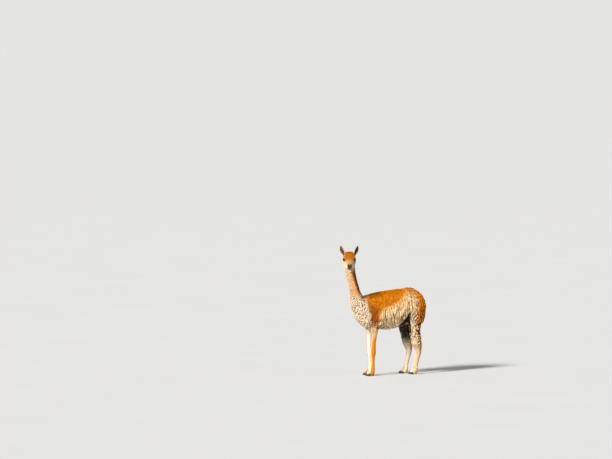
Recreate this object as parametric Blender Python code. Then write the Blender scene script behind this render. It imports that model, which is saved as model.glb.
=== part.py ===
"""A vicuna, life size, standing square and looking to its left. Metres, +Z up, the nose end of the trunk at -Y.

The flesh is fused whole from lofts and then parted into its named pieces with thin flat cuts.
"Ahead" is a distance towards -Y from the middle of the trunk. The animal's left is at +X.
"""
import math

import bmesh
import bpy
import numpy as np
from mathutils import Matrix, Vector
from mathutils.bvhtree import BVHTree

# The gap that neighbouring pieces keep, and the level where the legs leave the belly.
GAP = 0.0003
LEG_CUT_FORE = 0.462
LEG_CUT_HIND = 0.478
KNEE_CUT = 0.240
HOCK_CUT = 0.262
FETLOCK_CUT = 0.094

# How the head is carried.
HEAD_YAW = math.radians(58)
HEAD_PITCH = math.radians(24)
POLL_AHEAD = 0.442
POLL_HEIGHT = 1.245
HEAD_LENGTH = 0.241

# Eyes, in the head's frame (side, along, up), and the lids round them.
EYE_RADIUS = 0.0185
EYE_PLACE = (0.0462, 0.1040, 0.0180)
LID_THICK = 0.0038
LID_ALONG = 0.97
LID_ABOVE = 0.64
LID_BELOW = 0.60
LID_CORNER = 0.86

# Ears, in the head's frame.
EAR_LENGTH = 0.098
EAR_WIDTH = 0.0240
EAR_DEPTH = 0.0150
EAR_WALL = 0.0035
EAR_PLACE = (0.0520, 0.0330, 0.0470)
EAR_SPLAY = math.radians(27)
EAR_BACK_TILT = math.radians(17)
EAR_TURN = math.radians(28)
EAR_CUT = 0.018

# Standing: half the distance between the feet, and how the far legs are set against the near ones.
FORE_TRACK = 0.062
HIND_TRACK = 0.082
FAR_FORE_BACK = 0.060
FAR_HIND_AHEAD = 0.010

# Wool. The core lies this far inside the outline that the rows below give, and the clumps fill the rest.
WOOL_DEPTH = 0.013
NECK_WOOL_DEPTH = 0.006
WOOL_SEED = 11
# Region: distance between roots, length and half width as shares of it, height over the core.
WOOL = {
    "saddle": (0.082, 1.60, 0.50, 0.0120),
    "flank": (0.079, 1.85, 0.42, 0.0190),
    "chest": (0.060, 1.42, 0.54, 0.0170),
    "rump": (0.070, 1.50, 0.52, 0.0155),
    "shank": (0.058, 1.50, 0.50, 0.0105),
    "tail": (0.056, 1.75, 0.50, 0.0080),
}
WOOL_DRAWS = 20000
NECK_WOOL_TOP = 0.820
NECK_AHEAD = 0.27
WOOL_TOP = 0.97
WOOL_FOOT = 0.34
LEG_MARGIN = 0.015
SHANK_TOP = 0.52
SHANK_AHEAD = -0.20
INNER_TOP = 0.60
INNER_SHARE = -0.25
TAIL_BED_AHEAD = -0.40
TAIL_BED = (0.53, 0.84)
CHEST_AHEAD = 0.20
CHEST_HEIGHT = 0.50
CHEST_SLOPE = 0.25
RUMP_AHEAD = -0.36
SADDLE_HEIGHT = 0.70
SADDLE_SLOPE = 0.15
SPINE_FROM = 0.74
SPINE_FADE = 0.12
SPINE_WIDTH = 0.02
SPINE_SPREAD = 0.35
WITHERS_AHEAD = 0.26
SIDE_LEAN = 0.28
TAIL_ROOM = 0.070
TAIL_TIP = 0.575
TAIL_INNER = -0.2
TAIL_STEP = 2.0
CLUMP_SINK = 0.011

# Trunk and neck: ahead and height of the upper line, ahead and height of the lower line, half width.
TRUNK_ROWS = [
    (-0.485, 0.780, -0.485, 0.650, 0.070),
    (-0.438, 0.860, -0.438, 0.585, 0.125),
    (-0.340, 0.905, -0.345, 0.545, 0.155),
    (-0.195, 0.907, -0.215, 0.506, 0.165),
    (-0.040, 0.893, -0.060, 0.481, 0.170),
    (0.105, 0.876, 0.090, 0.474, 0.160),
    (0.205, 0.856, 0.215, 0.488, 0.146),
    (0.262, 0.838, 0.292, 0.548, 0.130),
    (0.283, 0.845, 0.362, 0.650, 0.108),
    (0.298, 0.868, 0.399, 0.775, 0.085),
    (0.316, 0.905, 0.414, 0.868, 0.066),
    (0.342, 0.985, 0.440, 0.957, 0.056),
    (0.362, 1.062, 0.468, 1.040, 0.053),
    (0.372, 1.120, 0.488, 1.105, 0.056),
    (0.373, 1.175, 0.497, 1.165, 0.058),
    (0.383, 1.218, 0.490, 1.206, 0.049),
]
TRUNK_POLES = ((-0.500, 0.715), (0.436, 1.244))
NECK_BASE_CUT = ((0.285, 0.862), (0.405, 0.776))
THROAT_CUT = ((0.372, 1.134), (0.494, 1.112))

# Legs: ahead, height, half depth, half width. The track is added to the side.
FORE_ROWS = [
    (0.190, 0.640, 0.085, 0.052),
    (0.165, 0.545, 0.066, 0.046),
    (0.160, 0.480, 0.048, 0.038),
    (0.166, 0.400, 0.031, 0.027),
    (0.175, 0.330, 0.0235, 0.0215),
    (0.179, 0.275, 0.0275, 0.0245),
    (0.180, 0.235, 0.0285, 0.0250),
    (0.181, 0.190, 0.0185, 0.0175),
    (0.183, 0.130, 0.0175, 0.0165),
    (0.186, 0.088, 0.0215, 0.0220),
]
HIND_ROWS = [
    (-0.305, 0.720, 0.130, 0.066),
    (-0.315, 0.620, 0.115, 0.068),
    (-0.324, 0.540, 0.089, 0.062),
    (-0.330, 0.460, 0.066, 0.055),
    (-0.346, 0.395, 0.056, 0.045),
    (-0.356, 0.345, 0.050, 0.036),
    (-0.370, 0.295, 0.048, 0.029),
    (-0.384, 0.225, 0.029, 0.023),
    (-0.362, 0.145, 0.022, 0.019),
    (-0.346, 0.088, 0.0235, 0.022),
]

# Below the fetlock, against the leg's last row: step ahead, height, share of its half depth and half width.
PASTERN = ((0.004, 0.066, 0.93, 0.93), (0.011, 0.046, 0.70, 0.76))

# Toe, from below the fetlock: ahead and height of the upper line, of the lower line, half width.
TOE_ROWS = [
    (0.004, 0.098, -0.018, 0.086, 0.0125),
    (0.015, 0.075, -0.014, 0.056, 0.0130),
    (0.030, 0.053, -0.012, 0.022, 0.0140),
    (0.045, 0.038, 0.000, -0.003, 0.0145),
    (0.060, 0.029, 0.036, -0.004, 0.0130),
    (0.073, 0.018, 0.060, -0.002, 0.0095),
]
TOE_POLES = ((-0.006, 0.104), (0.080, 0.004))
TOE_SPREAD = 0.0130
TOE_SPLAY = math.radians(7)
NAIL_CUT = 0.057

# Head, in its own frame: along and up of the upper line, of the lower line, half width.
HEAD_ROWS = [
    (-0.030, 0.024, -0.028, -0.054, 0.042),
    (-0.010, 0.052, -0.008, -0.070, 0.053),
    (0.016, 0.066, 0.014, -0.080, 0.061),
    (0.044, 0.072, 0.040, -0.083, 0.065),
    (0.074, 0.071, 0.070, -0.079, 0.066),
    (0.102, 0.062, 0.100, -0.070, 0.063),
    (0.130, 0.054, 0.129, -0.063, 0.055),
    (0.160, 0.044, 0.160, -0.058, 0.0465),
    (0.190, 0.037, 0.190, -0.055, 0.0420),
    (0.214, 0.031, 0.213, -0.051, 0.0390),
    (0.230, 0.021, 0.228, -0.041, 0.0330),
    (0.2380, 0.006, 0.2355, -0.026, 0.0215),
]
HEAD_POLES = ((-0.044, -0.014), (HEAD_LENGTH, -0.010))
HEAD_TAPER = -0.04

# Mouth: it is found on the muzzle from inside, turning about a point on the head's middle line.
# Turn in degrees from the front, height of the line, protrusion of the lips.
MOUTH_AXIS = 0.186
MOUTH_ROWS = [
    (0, -0.0225, 0.0018),
    (24, -0.0225, 0.0026),
    (48, -0.0240, 0.0028),
    (72, -0.0262, 0.0026),
    (96, -0.0290, 0.0020),
    (118, -0.0315, 0.0008),
    (132, -0.0325, -0.0012),
]
LIP_RADIUS = 0.0056
NOSTRIL_PLACE = (0.0150, 0.2325, 0.0030)
NOSTRIL_SIZE = (0.0030, 0.0080, 0.0068)
NOSTRIL_LEAN = math.radians(38)
NOSTRIL_TURN = math.radians(30)

# Tail: ahead, height, half depth, half width.
TAIL_ROWS = [
    (-0.458, 0.800, 0.024, 0.028),
    (-0.480, 0.765, 0.024, 0.031),
    (-0.489, 0.715, 0.022, 0.034),
    (-0.490, 0.655, 0.021, 0.036),
    (-0.486, 0.600, 0.019, 0.032),
    (-0.480, 0.555, 0.014, 0.022),
]

COLOURS = {
    "fawn": (0.55, 0.27, 0.06, 1),
    "cream": (0.75, 0.62, 0.45, 1),
    "horn": (0.05, 0.04, 0.035, 1),
    "eye": (0.012, 0.008, 0.006, 1),
}


def clear_scene():
    for obj in list(bpy.data.objects):
        bpy.data.objects.remove(obj)


def material(name, roughness):
    made = bpy.data.materials.new(name)
    made.use_nodes = True
    shader = made.node_tree.nodes["Principled BSDF"]
    shader.inputs["Base Color"].default_value = COLOURS[name]
    shader.inputs["Roughness"].default_value = roughness
    return made


def eased(rows, steps):
    """Rows read along a Catmull-Rom curve through them, with the given steps between neighbours."""
    rows = np.asarray(rows, float)
    padded = np.vstack([2 * rows[0] - rows[1], rows, 2 * rows[-1] - rows[-2]])
    out = []
    for i in range(len(rows) - 1):
        a, b, c, d = padded[i : i + 4]
        for t in np.linspace(0, 1, steps, endpoint=False):
            cubic = (3 * b - a - 3 * c + d) * t**3
            out.append(0.5 * (2 * b + (c - a) * t + (2 * a - 5 * b + 4 * c - d) * t**2 + cubic))
    out.append(rows[-1])
    return np.array(out)


def solid(name, points, faces):
    """A mesh object of triangles, with its faces turned outwards."""
    mesh = bpy.data.meshes.new(name)
    mesh.from_pydata([tuple(p) for p in points], [], faces)
    work = bmesh.new()
    work.from_mesh(mesh)
    bmesh.ops.triangulate(work, faces=work.faces)
    bmesh.ops.recalc_face_normals(work, faces=work.faces)
    if work.calc_volume(signed=True) < 0:
        bmesh.ops.reverse_faces(work, faces=work.faces)
    work.to_mesh(mesh)
    work.free()
    obj = bpy.data.objects.new(name, mesh)
    bpy.context.scene.collection.objects.link(obj)
    return obj


def loft(name, rings, poles):
    """A closed mesh object through rings of points, shut by a pole at either end."""
    count, around = rings.shape[:2]
    points = [*rings.reshape(-1, 3), *poles]
    first, last = count * around, count * around + 1
    faces = []
    for j in range(around):
        k = (j + 1) % around
        faces.append((first, k, j))
        faces.append((last, (count - 1) * around + j, (count - 1) * around + k))
        for i in range(count - 1):
            a, b = i * around, (i + 1) * around
            faces.append((a + j, a + k, b + k, b + j))
    return solid(name, points, faces)


def outline_rings(rows, around, narrow_top):
    """Rings in a frame of (side, along, up) from rows of upper line, lower line and half width."""
    angle = np.linspace(0, 2 * math.pi, around, endpoint=False)
    upper, lower, half = rows[:, None, 0:2], rows[:, None, 2:4], rows[:, None, 4]
    rise = np.sin(angle)[None, :, None]
    line = (upper + lower) / 2 + (upper - lower) / 2 * rise
    side = half * np.cos(angle)[None] * (1 - narrow_top * np.sin(angle)[None])
    return np.dstack([side, line])


def tube(name, path, radii, around, flat=(1, 1)):
    """A closed tube along a path, with a radius at each point. Flat squeezes it across its two sides."""
    path = np.asarray(path, float)
    along = np.gradient(path, axis=0)
    along /= np.linalg.norm(along, axis=1)[:, None]
    across = np.cross(along, (0, 0, 1))
    across /= np.linalg.norm(across, axis=1)[:, None]
    other = np.cross(across, along)
    angle = np.linspace(0, 2 * math.pi, around, endpoint=False)
    radii = np.asarray(radii)[:, None, None]
    spread = across[:, None] * np.cos(angle)[None, :, None] * flat[0]
    spread = spread + other[:, None] * np.sin(angle)[None, :, None] * flat[1]
    rings = path[:, None] + spread * radii
    ends = path[0] - along[0] * radii[0, 0] * 0.7, path[-1] + along[-1] * radii[-1, 0] * 0.7
    return loft(name, rings, ends)


def ball(name, centre, sizes, segments, rings, turn=None):
    """A closed ellipsoid about a centre, with half sizes along its own axes."""
    lift = np.linspace(0, math.pi, rings + 1)[1:-1]
    angle = np.linspace(0, 2 * math.pi, segments, endpoint=False)
    grid = np.zeros((len(lift), segments, 3))
    grid[..., 0] = np.sin(lift)[:, None] * np.cos(angle)
    grid[..., 1] = np.sin(lift)[:, None] * np.sin(angle)
    grid[..., 2] = np.cos(lift)[:, None]
    obj = loft(name, grid * sizes, [(0, 0, sizes[2]), (0, 0, -sizes[2])])
    if turn:
        obj.data.transform(turn)
    obj.data.transform(Matrix.Translation(centre))
    return obj


def body_point(side, ahead, up):
    return Vector((side, -ahead, up))


def head_matrix():
    """The head's own frame: X to its left, Y along to the nose, Z up through the brow."""
    level = math.cos(HEAD_PITCH)
    along = Vector((math.sin(HEAD_YAW) * level, -math.cos(HEAD_YAW) * level, -math.sin(HEAD_PITCH)))
    left = Vector((math.cos(HEAD_YAW), math.sin(HEAD_YAW), 0))
    up = along.cross(left)
    place = body_point(0, POLL_AHEAD, POLL_HEIGHT)
    return Matrix.Translation(place) @ Matrix((left, along, up)).transposed().to_4x4()


def trunk_and_neck():
    """The core of trunk and neck, inside its outline by the depth of the wool."""
    rings = outline_rings(eased(TRUNK_ROWS, 1), 20, 0.10)
    rings[..., 1] *= -1
    depth = np.interp(rings[..., 2].mean(1), (0.80, 0.92), (WOOL_DEPTH, NECK_WOOL_DEPTH))
    middle = rings.mean(1, keepdims=True)
    out = rings - middle
    reach = np.linalg.norm(out, axis=2, keepdims=True)
    rings = middle + out * (1 - depth[:, None, None] / reach)
    rear, top = (body_point(0, *pole) for pole in TRUNK_POLES)
    return loft("trunk", rings, [rear - Vector((0, WOOL_DEPTH, 0)), top])


def leg(name, rows, track, shift):
    """A leg with level rings, and two more below the fetlock that end between the toes.

    The shift ahead grows from none at the top row to full on the ground.
    """
    ahead, _, depth, half = rows[-1]
    pastern = [(ahead + step, height, depth * deep, half * wide) for step, height, deep, wide in PASTERN]
    rows = eased(rows + pastern, 1)
    angle = np.linspace(0, 2 * math.pi, 12, endpoint=False)
    fall = (rows[0, 1] - rows[:, 1]) / rows[0, 1]
    ahead = rows[:, 0] + shift * fall
    wool = np.interp(rows[:, 1], (0.33, 0.46), (0.0, WOOL_DEPTH * 0.7))
    half_depth, half_width = rows[:, 2] - wool, rows[:, 3] - wool
    rings = np.zeros((len(rows), len(angle), 3))
    rings[..., 0] = track + half_width[:, None] * np.cos(angle)
    rings[..., 1] = -(ahead[:, None] + half_depth[:, None] * np.sin(angle))
    rings[..., 2] = rows[:, None, 1]
    top, foot = rings[0].mean(0), rings[-1].mean(0)
    return loft(name, rings, [top + (0, 0, 0.03), foot - (0, 0, 0.012)])


def toe_matrix(track, ahead, side):
    place = body_point(track + side * TOE_SPREAD, ahead, 0)
    return Matrix.Translation(place) @ Matrix.Rotation(side * TOE_SPLAY, 4, "Z")


def toe(name, track, ahead, side):
    rings = outline_rings(eased(TOE_ROWS, 1), 8, 0.15)
    rings[..., 1] *= -1
    obj = loft(name, rings, [body_point(0, *pole) for pole in TOE_POLES])
    obj.data.transform(toe_matrix(track, ahead, side))
    return obj


def head_core():
    rings = outline_rings(eased(HEAD_ROWS, 1), 18, HEAD_TAPER)
    obj = loft("head_core", rings, [(0, *pole) for pole in HEAD_POLES])
    obj.data.transform(head_matrix())
    return obj


def lids(side):
    """A rim round the eye, heavier above than below, drawn to a corner before and behind."""
    angle = np.linspace(0, 2 * math.pi, 13)[:-1]
    centre = np.array(EYE_PLACE) * (side, 1, 1)
    along = np.cos(angle) * EYE_RADIUS * LID_ALONG
    rise = np.sin(angle) * EYE_RADIUS * np.where(np.sin(angle) > 0, LID_ABOVE, LID_BELOW)
    out = np.sqrt(np.maximum(EYE_RADIUS**2 - along**2 * LID_CORNER - rise**2, 0)) * LID_ALONG
    path = np.stack([centre[0] + side * out, centre[1] + along, centre[2] + rise], 1)
    thick = LID_THICK * (1 + 0.22 * np.sin(angle))
    return ring_tube(f"lids_{side}", path, thick, centre, 5)


def ring_tube(name, path, radii, centre, around):
    """A closed ring of tube about a centre."""
    count = len(path)
    along = np.roll(path, -1, 0) - np.roll(path, 1, 0)
    along /= np.linalg.norm(along, axis=1)[:, None]
    out = path - centre
    out -= along * (out * along).sum(1)[:, None]
    out /= np.linalg.norm(out, axis=1)[:, None]
    other = np.cross(along, out)
    angle = np.linspace(0, 2 * math.pi, around, endpoint=False)
    spread = out[:, None] * np.cos(angle)[None, :, None] + other[:, None] * np.sin(angle)[None, :, None]
    points = (path[:, None] + spread * np.asarray(radii)[:, None, None]).reshape(-1, 3)
    faces = []
    for i in range(count):
        for j in range(around):
            k, n = (j + 1) % around, (i + 1) % count
            faces.append((i * around + j, i * around + k, n * around + k, n * around + j))
    obj = solid(name, points, faces)
    obj.data.transform(head_matrix())
    outward(obj)
    return obj


def outward(obj):
    """Faces are turned out again after a mirroring move."""
    work = bmesh.new()
    work.from_mesh(obj.data)
    bmesh.ops.recalc_face_normals(work, faces=work.faces)
    if work.calc_volume(signed=True) < 0:
        bmesh.ops.reverse_faces(work, faces=work.faces)
    work.to_mesh(obj.data)
    work.free()
    return obj


def lips(core):
    """An upper and a lower lip, each a soft roll round the muzzle. The crease between them is the mouth."""
    frame = head_matrix()
    tree = BVHTree.FromObject(core, bpy.context.evaluated_depsgraph_get())
    half = eased(MOUTH_ROWS, 1)
    line = np.vstack([half[:0:-1] * (-1, 1, 1), half])
    turn = np.radians(line[:, 0])
    out = np.stack([np.sin(turn), np.cos(turn), np.zeros(len(turn))], 1)
    made = []
    for level in (1, -1):
        path = []
        for heading, (_, height, bulge) in zip(out, line):
            start = frame @ Vector((0, MOUTH_AXIS, height + level * LIP_RADIUS * 0.92))
            hit = tree.ray_cast(start, frame.to_3x3() @ Vector(heading))[0]
            path.append(hit + frame.to_3x3() @ Vector(heading) * (bulge - LIP_RADIUS * 0.9))
        made.append(tube(f"lip_{level}", path, np.full(len(path), LIP_RADIUS), 6))
    return made


def ear_matrix(side):
    place = Matrix.Translation((side * EAR_PLACE[0], EAR_PLACE[1], EAR_PLACE[2]))
    lean = Matrix.Rotation(EAR_BACK_TILT, 4, "X") @ Matrix.Rotation(side * EAR_SPLAY, 4, "Y")
    return head_matrix() @ place @ lean @ Matrix.Rotation(-side * EAR_TURN, 4, "Z")


def ear(side):
    """A long cupped ear: each ring is a crescent, open to the front, filled in only at the root."""
    share = np.array([-0.10, 0.05, 0.18, 0.34, 0.52, 0.70, 0.86, 0.96])
    wide = np.interp(share, (-0.1, 0.05, 0.34, 0.6, 0.86, 0.96), (0.62, 0.72, 1.0, 0.92, 0.48, 0.20))
    cup = np.clip((share - 0.06) / 0.16, 0, 1)
    back = np.linspace(0, math.pi, 9)
    front = np.linspace(math.pi, 2 * math.pi, 9)[1:-1]
    rings = []
    for level, width, hollow in zip(share, wide, cup):
        half = width * EAR_WIDTH
        depth = EAR_DEPTH * (0.35 + 0.65 * width)
        wall = EAR_WALL * (0.5 + 0.5 * width)
        behind = np.stack([half * np.cos(back), -depth * np.sin(back)], 1)
        arch = np.abs(np.sin(front))
        sunk = -(depth - wall) * arch * hollow + depth * 0.6 * arch * (1 - hollow)
        before = np.stack([half * 0.88 * np.cos(front), sunk + wall * 0.4 * hollow], 1)
        ring = np.vstack([behind, before])
        bend = 0.010 * level**2
        height = np.full(len(ring), level * EAR_LENGTH)
        rings.append(np.column_stack([ring[:, 0] - side * bend, ring[:, 1] + depth * 0.5, height]))
    rings = np.array(rings)
    tip = rings[-1].mean(0) + (0, 0, 0.004)
    obj = loft(f"ear_{side}", rings, [rings[0].mean(0) - (0, 0, 0.004), tip])
    obj.data.transform(ear_matrix(side))
    return outward(obj)


def tail():
    rows = eased(TAIL_ROWS, 1)
    angle = np.linspace(0, 2 * math.pi, 12, endpoint=False)
    rings = np.zeros((len(rows), len(angle), 3))
    rings[..., 0] = rows[:, None, 3] * np.cos(angle)
    rings[..., 1] = -(rows[:, None, 0] + rows[:, None, 2] * np.sin(angle))
    rings[..., 2] = rows[:, None, 1]
    core = loft("tail", rings, [rings[0].mean(0) + (0, 0, 0.012), rings[-1].mean(0) - (0, 0, 0.022)])
    return boolean(core, wool(core, tail_region), "UNION")


def tail_region(point, normal):
    """Wool grows on the tail's back and sides, down to its tip."""
    return "tail" if normal[1] > TAIL_INNER and point[2] > TAIL_TIP else None


def boolean(obj, others, operation):
    """One Boolean against a collection of closed meshes, applied, with the collection's objects removed."""
    group = bpy.data.collections.new("others")
    bpy.context.scene.collection.children.link(group)
    for other in others:
        bpy.context.scene.collection.objects.unlink(other)
        group.objects.link(other)
    cut = obj.modifiers.new("join", "BOOLEAN")
    cut.operand_type = "COLLECTION"
    cut.collection = group
    cut.operation = operation
    cut.solver = "EXACT"
    mesh = bpy.data.meshes.new_from_object(obj.evaluated_get(bpy.context.evaluated_depsgraph_get()))
    obj.modifiers.clear()
    obj.data = mesh
    for other in list(group.objects):
        bpy.data.objects.remove(other)
    bpy.data.collections.remove(group)
    return obj


def slab(middle, normal, size):
    """A thin square plate, as thick as the gap, for parting two pieces."""
    turn = Vector((0, 0, 1)).rotation_difference(Vector(normal).normalized()).to_matrix().to_4x4()
    corners = [(x, y, z) for z in (-GAP / 2, GAP / 2) for x, y in ((-1, -1), (1, -1), (1, 1), (-1, 1))]
    points = [(x * size[0], y * size[1], z) for x, y, z in corners]
    faces = [(3, 2, 1, 0), (4, 5, 6, 7), (0, 1, 5, 4), (1, 2, 6, 5), (2, 3, 7, 6), (3, 0, 4, 7)]
    obj = solid("slab", points, faces)
    obj.data.transform(Matrix.Translation(middle) @ turn)
    return obj


def line_slab(line, width, reach):
    """A parting plate seen edge on from the side, through two points of the middle plane."""
    (a, b), (c, d) = line
    first, second = body_point(0, a, b), body_point(0, c, d)
    run = (second - first).normalized()
    normal = run.cross(Vector((1, 0, 0)))
    middle = (first + second) / 2
    points = []
    for lift in (-GAP / 2, GAP / 2):
        for x, r in ((-width, -reach), (width, -reach), (width, reach), (-width, reach)):
            points.append(middle + Vector((x, 0, 0)) + run * r + normal * lift)
    faces = [(3, 2, 1, 0), (4, 5, 6, 7), (0, 1, 5, 4), (1, 2, 6, 5), (2, 3, 7, 6), (3, 0, 4, 7)]
    return solid("slab", points, faces)


def islands(obj):
    """The closed surfaces of a mesh, each as points and faces."""
    mesh = obj.data
    count = len(mesh.vertices)
    points = np.array([v.co for v in mesh.vertices])
    parent = list(range(count))

    def root(i):
        while parent[i] != i:
            parent[i] = parent[parent[i]]
            i = parent[i]
        return i

    for edge in mesh.edges:
        a, b = root(edge.vertices[0]), root(edge.vertices[1])
        parent[a] = b
    label = np.array([root(i) for i in range(count)])
    found = []
    for value in np.unique(label):
        keep = np.flatnonzero(label == value)
        place = {int(old): new for new, old in enumerate(keep)}
        faces = [
            tuple(place[v] for v in face.vertices)
            for face in mesh.polygons
            if face.vertices[0] in place
        ]
        found.append((points[keep], faces))
    return found


def foot_places():
    """The side, the fore or hind word, the track and how far ahead each foot stands."""
    drop = (0.640 - 0.088) / 0.640
    for word, side in (("left", 1), ("right", -1)):
        fore = FORE_ROWS[-1][0] - (0 if side > 0 else FAR_FORE_BACK * drop)
        hind = HIND_ROWS[-1][0] + (0 if side > 0 else FAR_HIND_AHEAD * drop)
        yield word, "fore", side * FORE_TRACK, fore
        yield word, "hind", side * HIND_TRACK, hind


def wool_region(point, normal):
    """Which kind of wool grows at a point of the core, or none."""
    ahead, up = -point[1], point[2]
    inner = point[0] * normal[0] < INNER_SHARE * abs(point[0])
    under_tail = ahead < TAIL_BED_AHEAD and abs(point[0]) < TAIL_ROOM and TAIL_BED[0] < up < TAIL_BED[1]
    bare_neck = up > WOOL_TOP or (up > NECK_WOOL_TOP and ahead > NECK_AHEAD)
    bare_leg = up < WOOL_FOOT or (up < LEG_CUT_FORE + LEG_MARGIN and ahead > 0)
    if under_tail or bare_neck or bare_leg:
        return None
    if up < SHANK_TOP:
        return None if inner or ahead > SHANK_AHEAD else "shank"
    if inner and up < INNER_TOP:
        return None
    if ahead > CHEST_AHEAD + (up - CHEST_HEIGHT) * CHEST_SLOPE:
        return "chest"
    if ahead < RUMP_AHEAD:
        return "rump"
    return "flank" if up < SADDLE_HEIGHT - SADDLE_SLOPE * ahead else "saddle"


def wool_lie(point, normal):
    """The way the wool lies: back along the spine, turning down the sides, chest, neck and legs."""
    ahead, up = -point[1], point[2]
    top = np.clip((up - SPINE_FROM) / SPINE_FADE, 0, 1) * (ahead < WITHERS_AHEAD)
    side = np.sign(point[0]) if abs(point[0]) > SPINE_WIDTH else 0
    lie = top * np.array((SPINE_SPREAD * side, 1.0, 0)) + (1 - top) * np.array((0, SIDE_LEAN, -1.0))
    lie = lie - normal * (lie @ normal)
    return lie / np.linalg.norm(lie)


def clump(place, normal, lie, length, half, height, rise):
    """A rounded tuft of wool: three rings along its lie, its root and underside sunk in the core."""
    across = np.cross(normal, lie)
    angle = np.linspace(0, 2 * math.pi, 5, endpoint=False) + math.pi / 2
    rings = []
    for share, wide, top in ((0.16, 0.74, 0.62), (0.50, 1.00, 1.00), (0.82, 0.62, 1.00 + rise)):
        middle = place + lie * length * (share - 0.42) + normal * (height * top - CLUMP_SINK) / 2
        thick = (height * top + CLUMP_SINK) / 2
        spread = across * np.cos(angle)[:, None] * half * wide + normal * np.sin(angle)[:, None] * thick
        rings.append(middle + spread)
    root = place - lie * length * 0.42 - normal * CLUMP_SINK * 0.4
    tip = place + lie * length * 0.58 + normal * height * (0.25 + rise)
    return loft("clump", np.array(rings), [root, tip])


def wool(body, region_at):
    """Clumps set close over the core. Roots are drawn over its faces by area and kept where none stands nearer."""
    draw = np.random.default_rng(WOOL_SEED)
    mesh = body.data
    mesh.calc_loop_triangles()
    faces = np.array([face.vertices[:] for face in mesh.loop_triangles])
    corners = np.array([v.co for v in mesh.vertices])[faces]
    smooth = np.array([v.normal for v in mesh.vertices])[faces]
    cross = np.cross(corners[:, 1] - corners[:, 0], corners[:, 2] - corners[:, 0])
    area = np.linalg.norm(cross, axis=1)
    picks = draw.choice(len(area), WOOL_DRAWS, p=area / area.sum())
    a, b = np.sqrt(draw.random(len(picks))), draw.random(len(picks))
    share = np.stack([1 - a, a * (1 - b), a * b], 1)
    points = (corners[picks] * share[:, :, None]).sum(1)
    normals = (smooth[picks] * share[:, :, None]).sum(1) + cross[picks] / area[picks, None]
    normals /= np.linalg.norm(normals, axis=1)[:, None]
    kept, made = np.zeros((0, 3)), []
    for point, normal in zip(points, normals):
        region = region_at(point, normal)
        if region is None:
            continue
        spacing, length, half, height = WOOL[region]
        if len(kept) and np.min(np.linalg.norm(kept - point, axis=1)) < spacing:
            continue
        kept = np.vstack([kept, point])
        size = draw.uniform(0.9, 1.12)
        lie = wool_lie(point, normal)
        lie = lie + np.cross(normal, lie) * draw.uniform(-0.22, 0.22)
        lie /= np.linalg.norm(lie)
        shape = spacing * length * size, spacing * half * size, height * draw.uniform(0.8, 1.15)
        made.append(clump(point, normal, lie, *shape, draw.uniform(-0.15, 0.25)))
    return made


def flesh():
    """Everything that grows together, fused into one closed mesh."""
    body = trunk_and_neck()
    core = head_core()
    others = [core, *lips(core)]
    for side in (1, -1):
        others.append(leg("leg", FORE_ROWS, side * FORE_TRACK, 0 if side > 0 else -FAR_FORE_BACK))
        others.append(leg("leg", HIND_ROWS, side * HIND_TRACK, 0 if side > 0 else FAR_HIND_AHEAD))
        others.append(lids(side))
        others.append(ear(side))
    for _, _, track, ahead in foot_places():
        for side in (1, -1):
            others.append(toe("toe", track, ahead, side))
    boolean(body, others, "UNION")
    return boolean(body, wool(body, wool_region), "UNION")


def face_cutters():
    """The eye sockets, the nostrils, the split of the upper lip, and the ground."""
    frame = head_matrix()
    made = []
    for side in (1, -1):
        eye = np.array(EYE_PLACE) * (side, 1, 1)
        made.append(ball("socket", eye, [EYE_RADIUS + GAP] * 3, 14, 9, Matrix.Rotation(math.pi / 2, 4, "Y")))
        place = np.array(NOSTRIL_PLACE) * (side, 1, 1)
        turn = Matrix.Rotation(-side * NOSTRIL_LEAN, 4, "Y") @ Matrix.Rotation(side * NOSTRIL_TURN, 4, "Z")
        made.append(ball("nostril", place, NOSTRIL_SIZE, 8, 5, turn))
    made.append(ball("split", (0, HEAD_LENGTH + 0.001, -0.010), (0.0012, 0.006, 0.0085), 8, 6))
    for obj in made:
        obj.data.transform(frame)
        outward(obj)
    points = [(x, y, z) for z in (-0.05, 0) for x, y in ((-1, -1), (1, -1), (1, 1), (-1, 1))]
    faces = [(3, 2, 1, 0), (4, 5, 6, 7), (0, 1, 5, 4), (1, 2, 6, 5), (2, 3, 7, 6), (3, 0, 4, 7)]
    made.append(solid("ground", points, faces))
    return made


def parting_slabs():
    made = [line_slab(NECK_BASE_CUT, 0.2, 0.16), line_slab(THROAT_CUT, 0.085, 0.088)]
    for level, ahead in ((LEG_CUT_FORE, 0.17), (LEG_CUT_HIND, -0.33)):
        made.append(slab(body_point(0, ahead, level), (0, 0, 1), (0.2, 0.2)))
    for word, end, track, ahead in foot_places():
        joint = KNEE_CUT if end == "fore" else HOCK_CUT
        middle = ahead if end == "fore" else ahead - 0.025
        made.append(slab(body_point(track, middle, joint), (0, 0, 1), (0.045, 0.07)))
        made.append(slab(body_point(track, ahead, FETLOCK_CUT), (0, 0, 1), (0.045, 0.045)))
        for side in (1, -1):
            frame = toe_matrix(track, ahead, side)
            nail = slab((0, -NAIL_CUT, 0.012), (0, -0.86, 0.5), (0.0150, 0.045))
            nail.data.transform(frame)
            made.append(nail)
    for side in (1, -1):
        plate = slab((0, 0, EAR_CUT), (0, 0, 1), (0.026, 0.024))
        plate.data.transform(ear_matrix(side))
        made.append(outward(plate))
    return made


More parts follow.
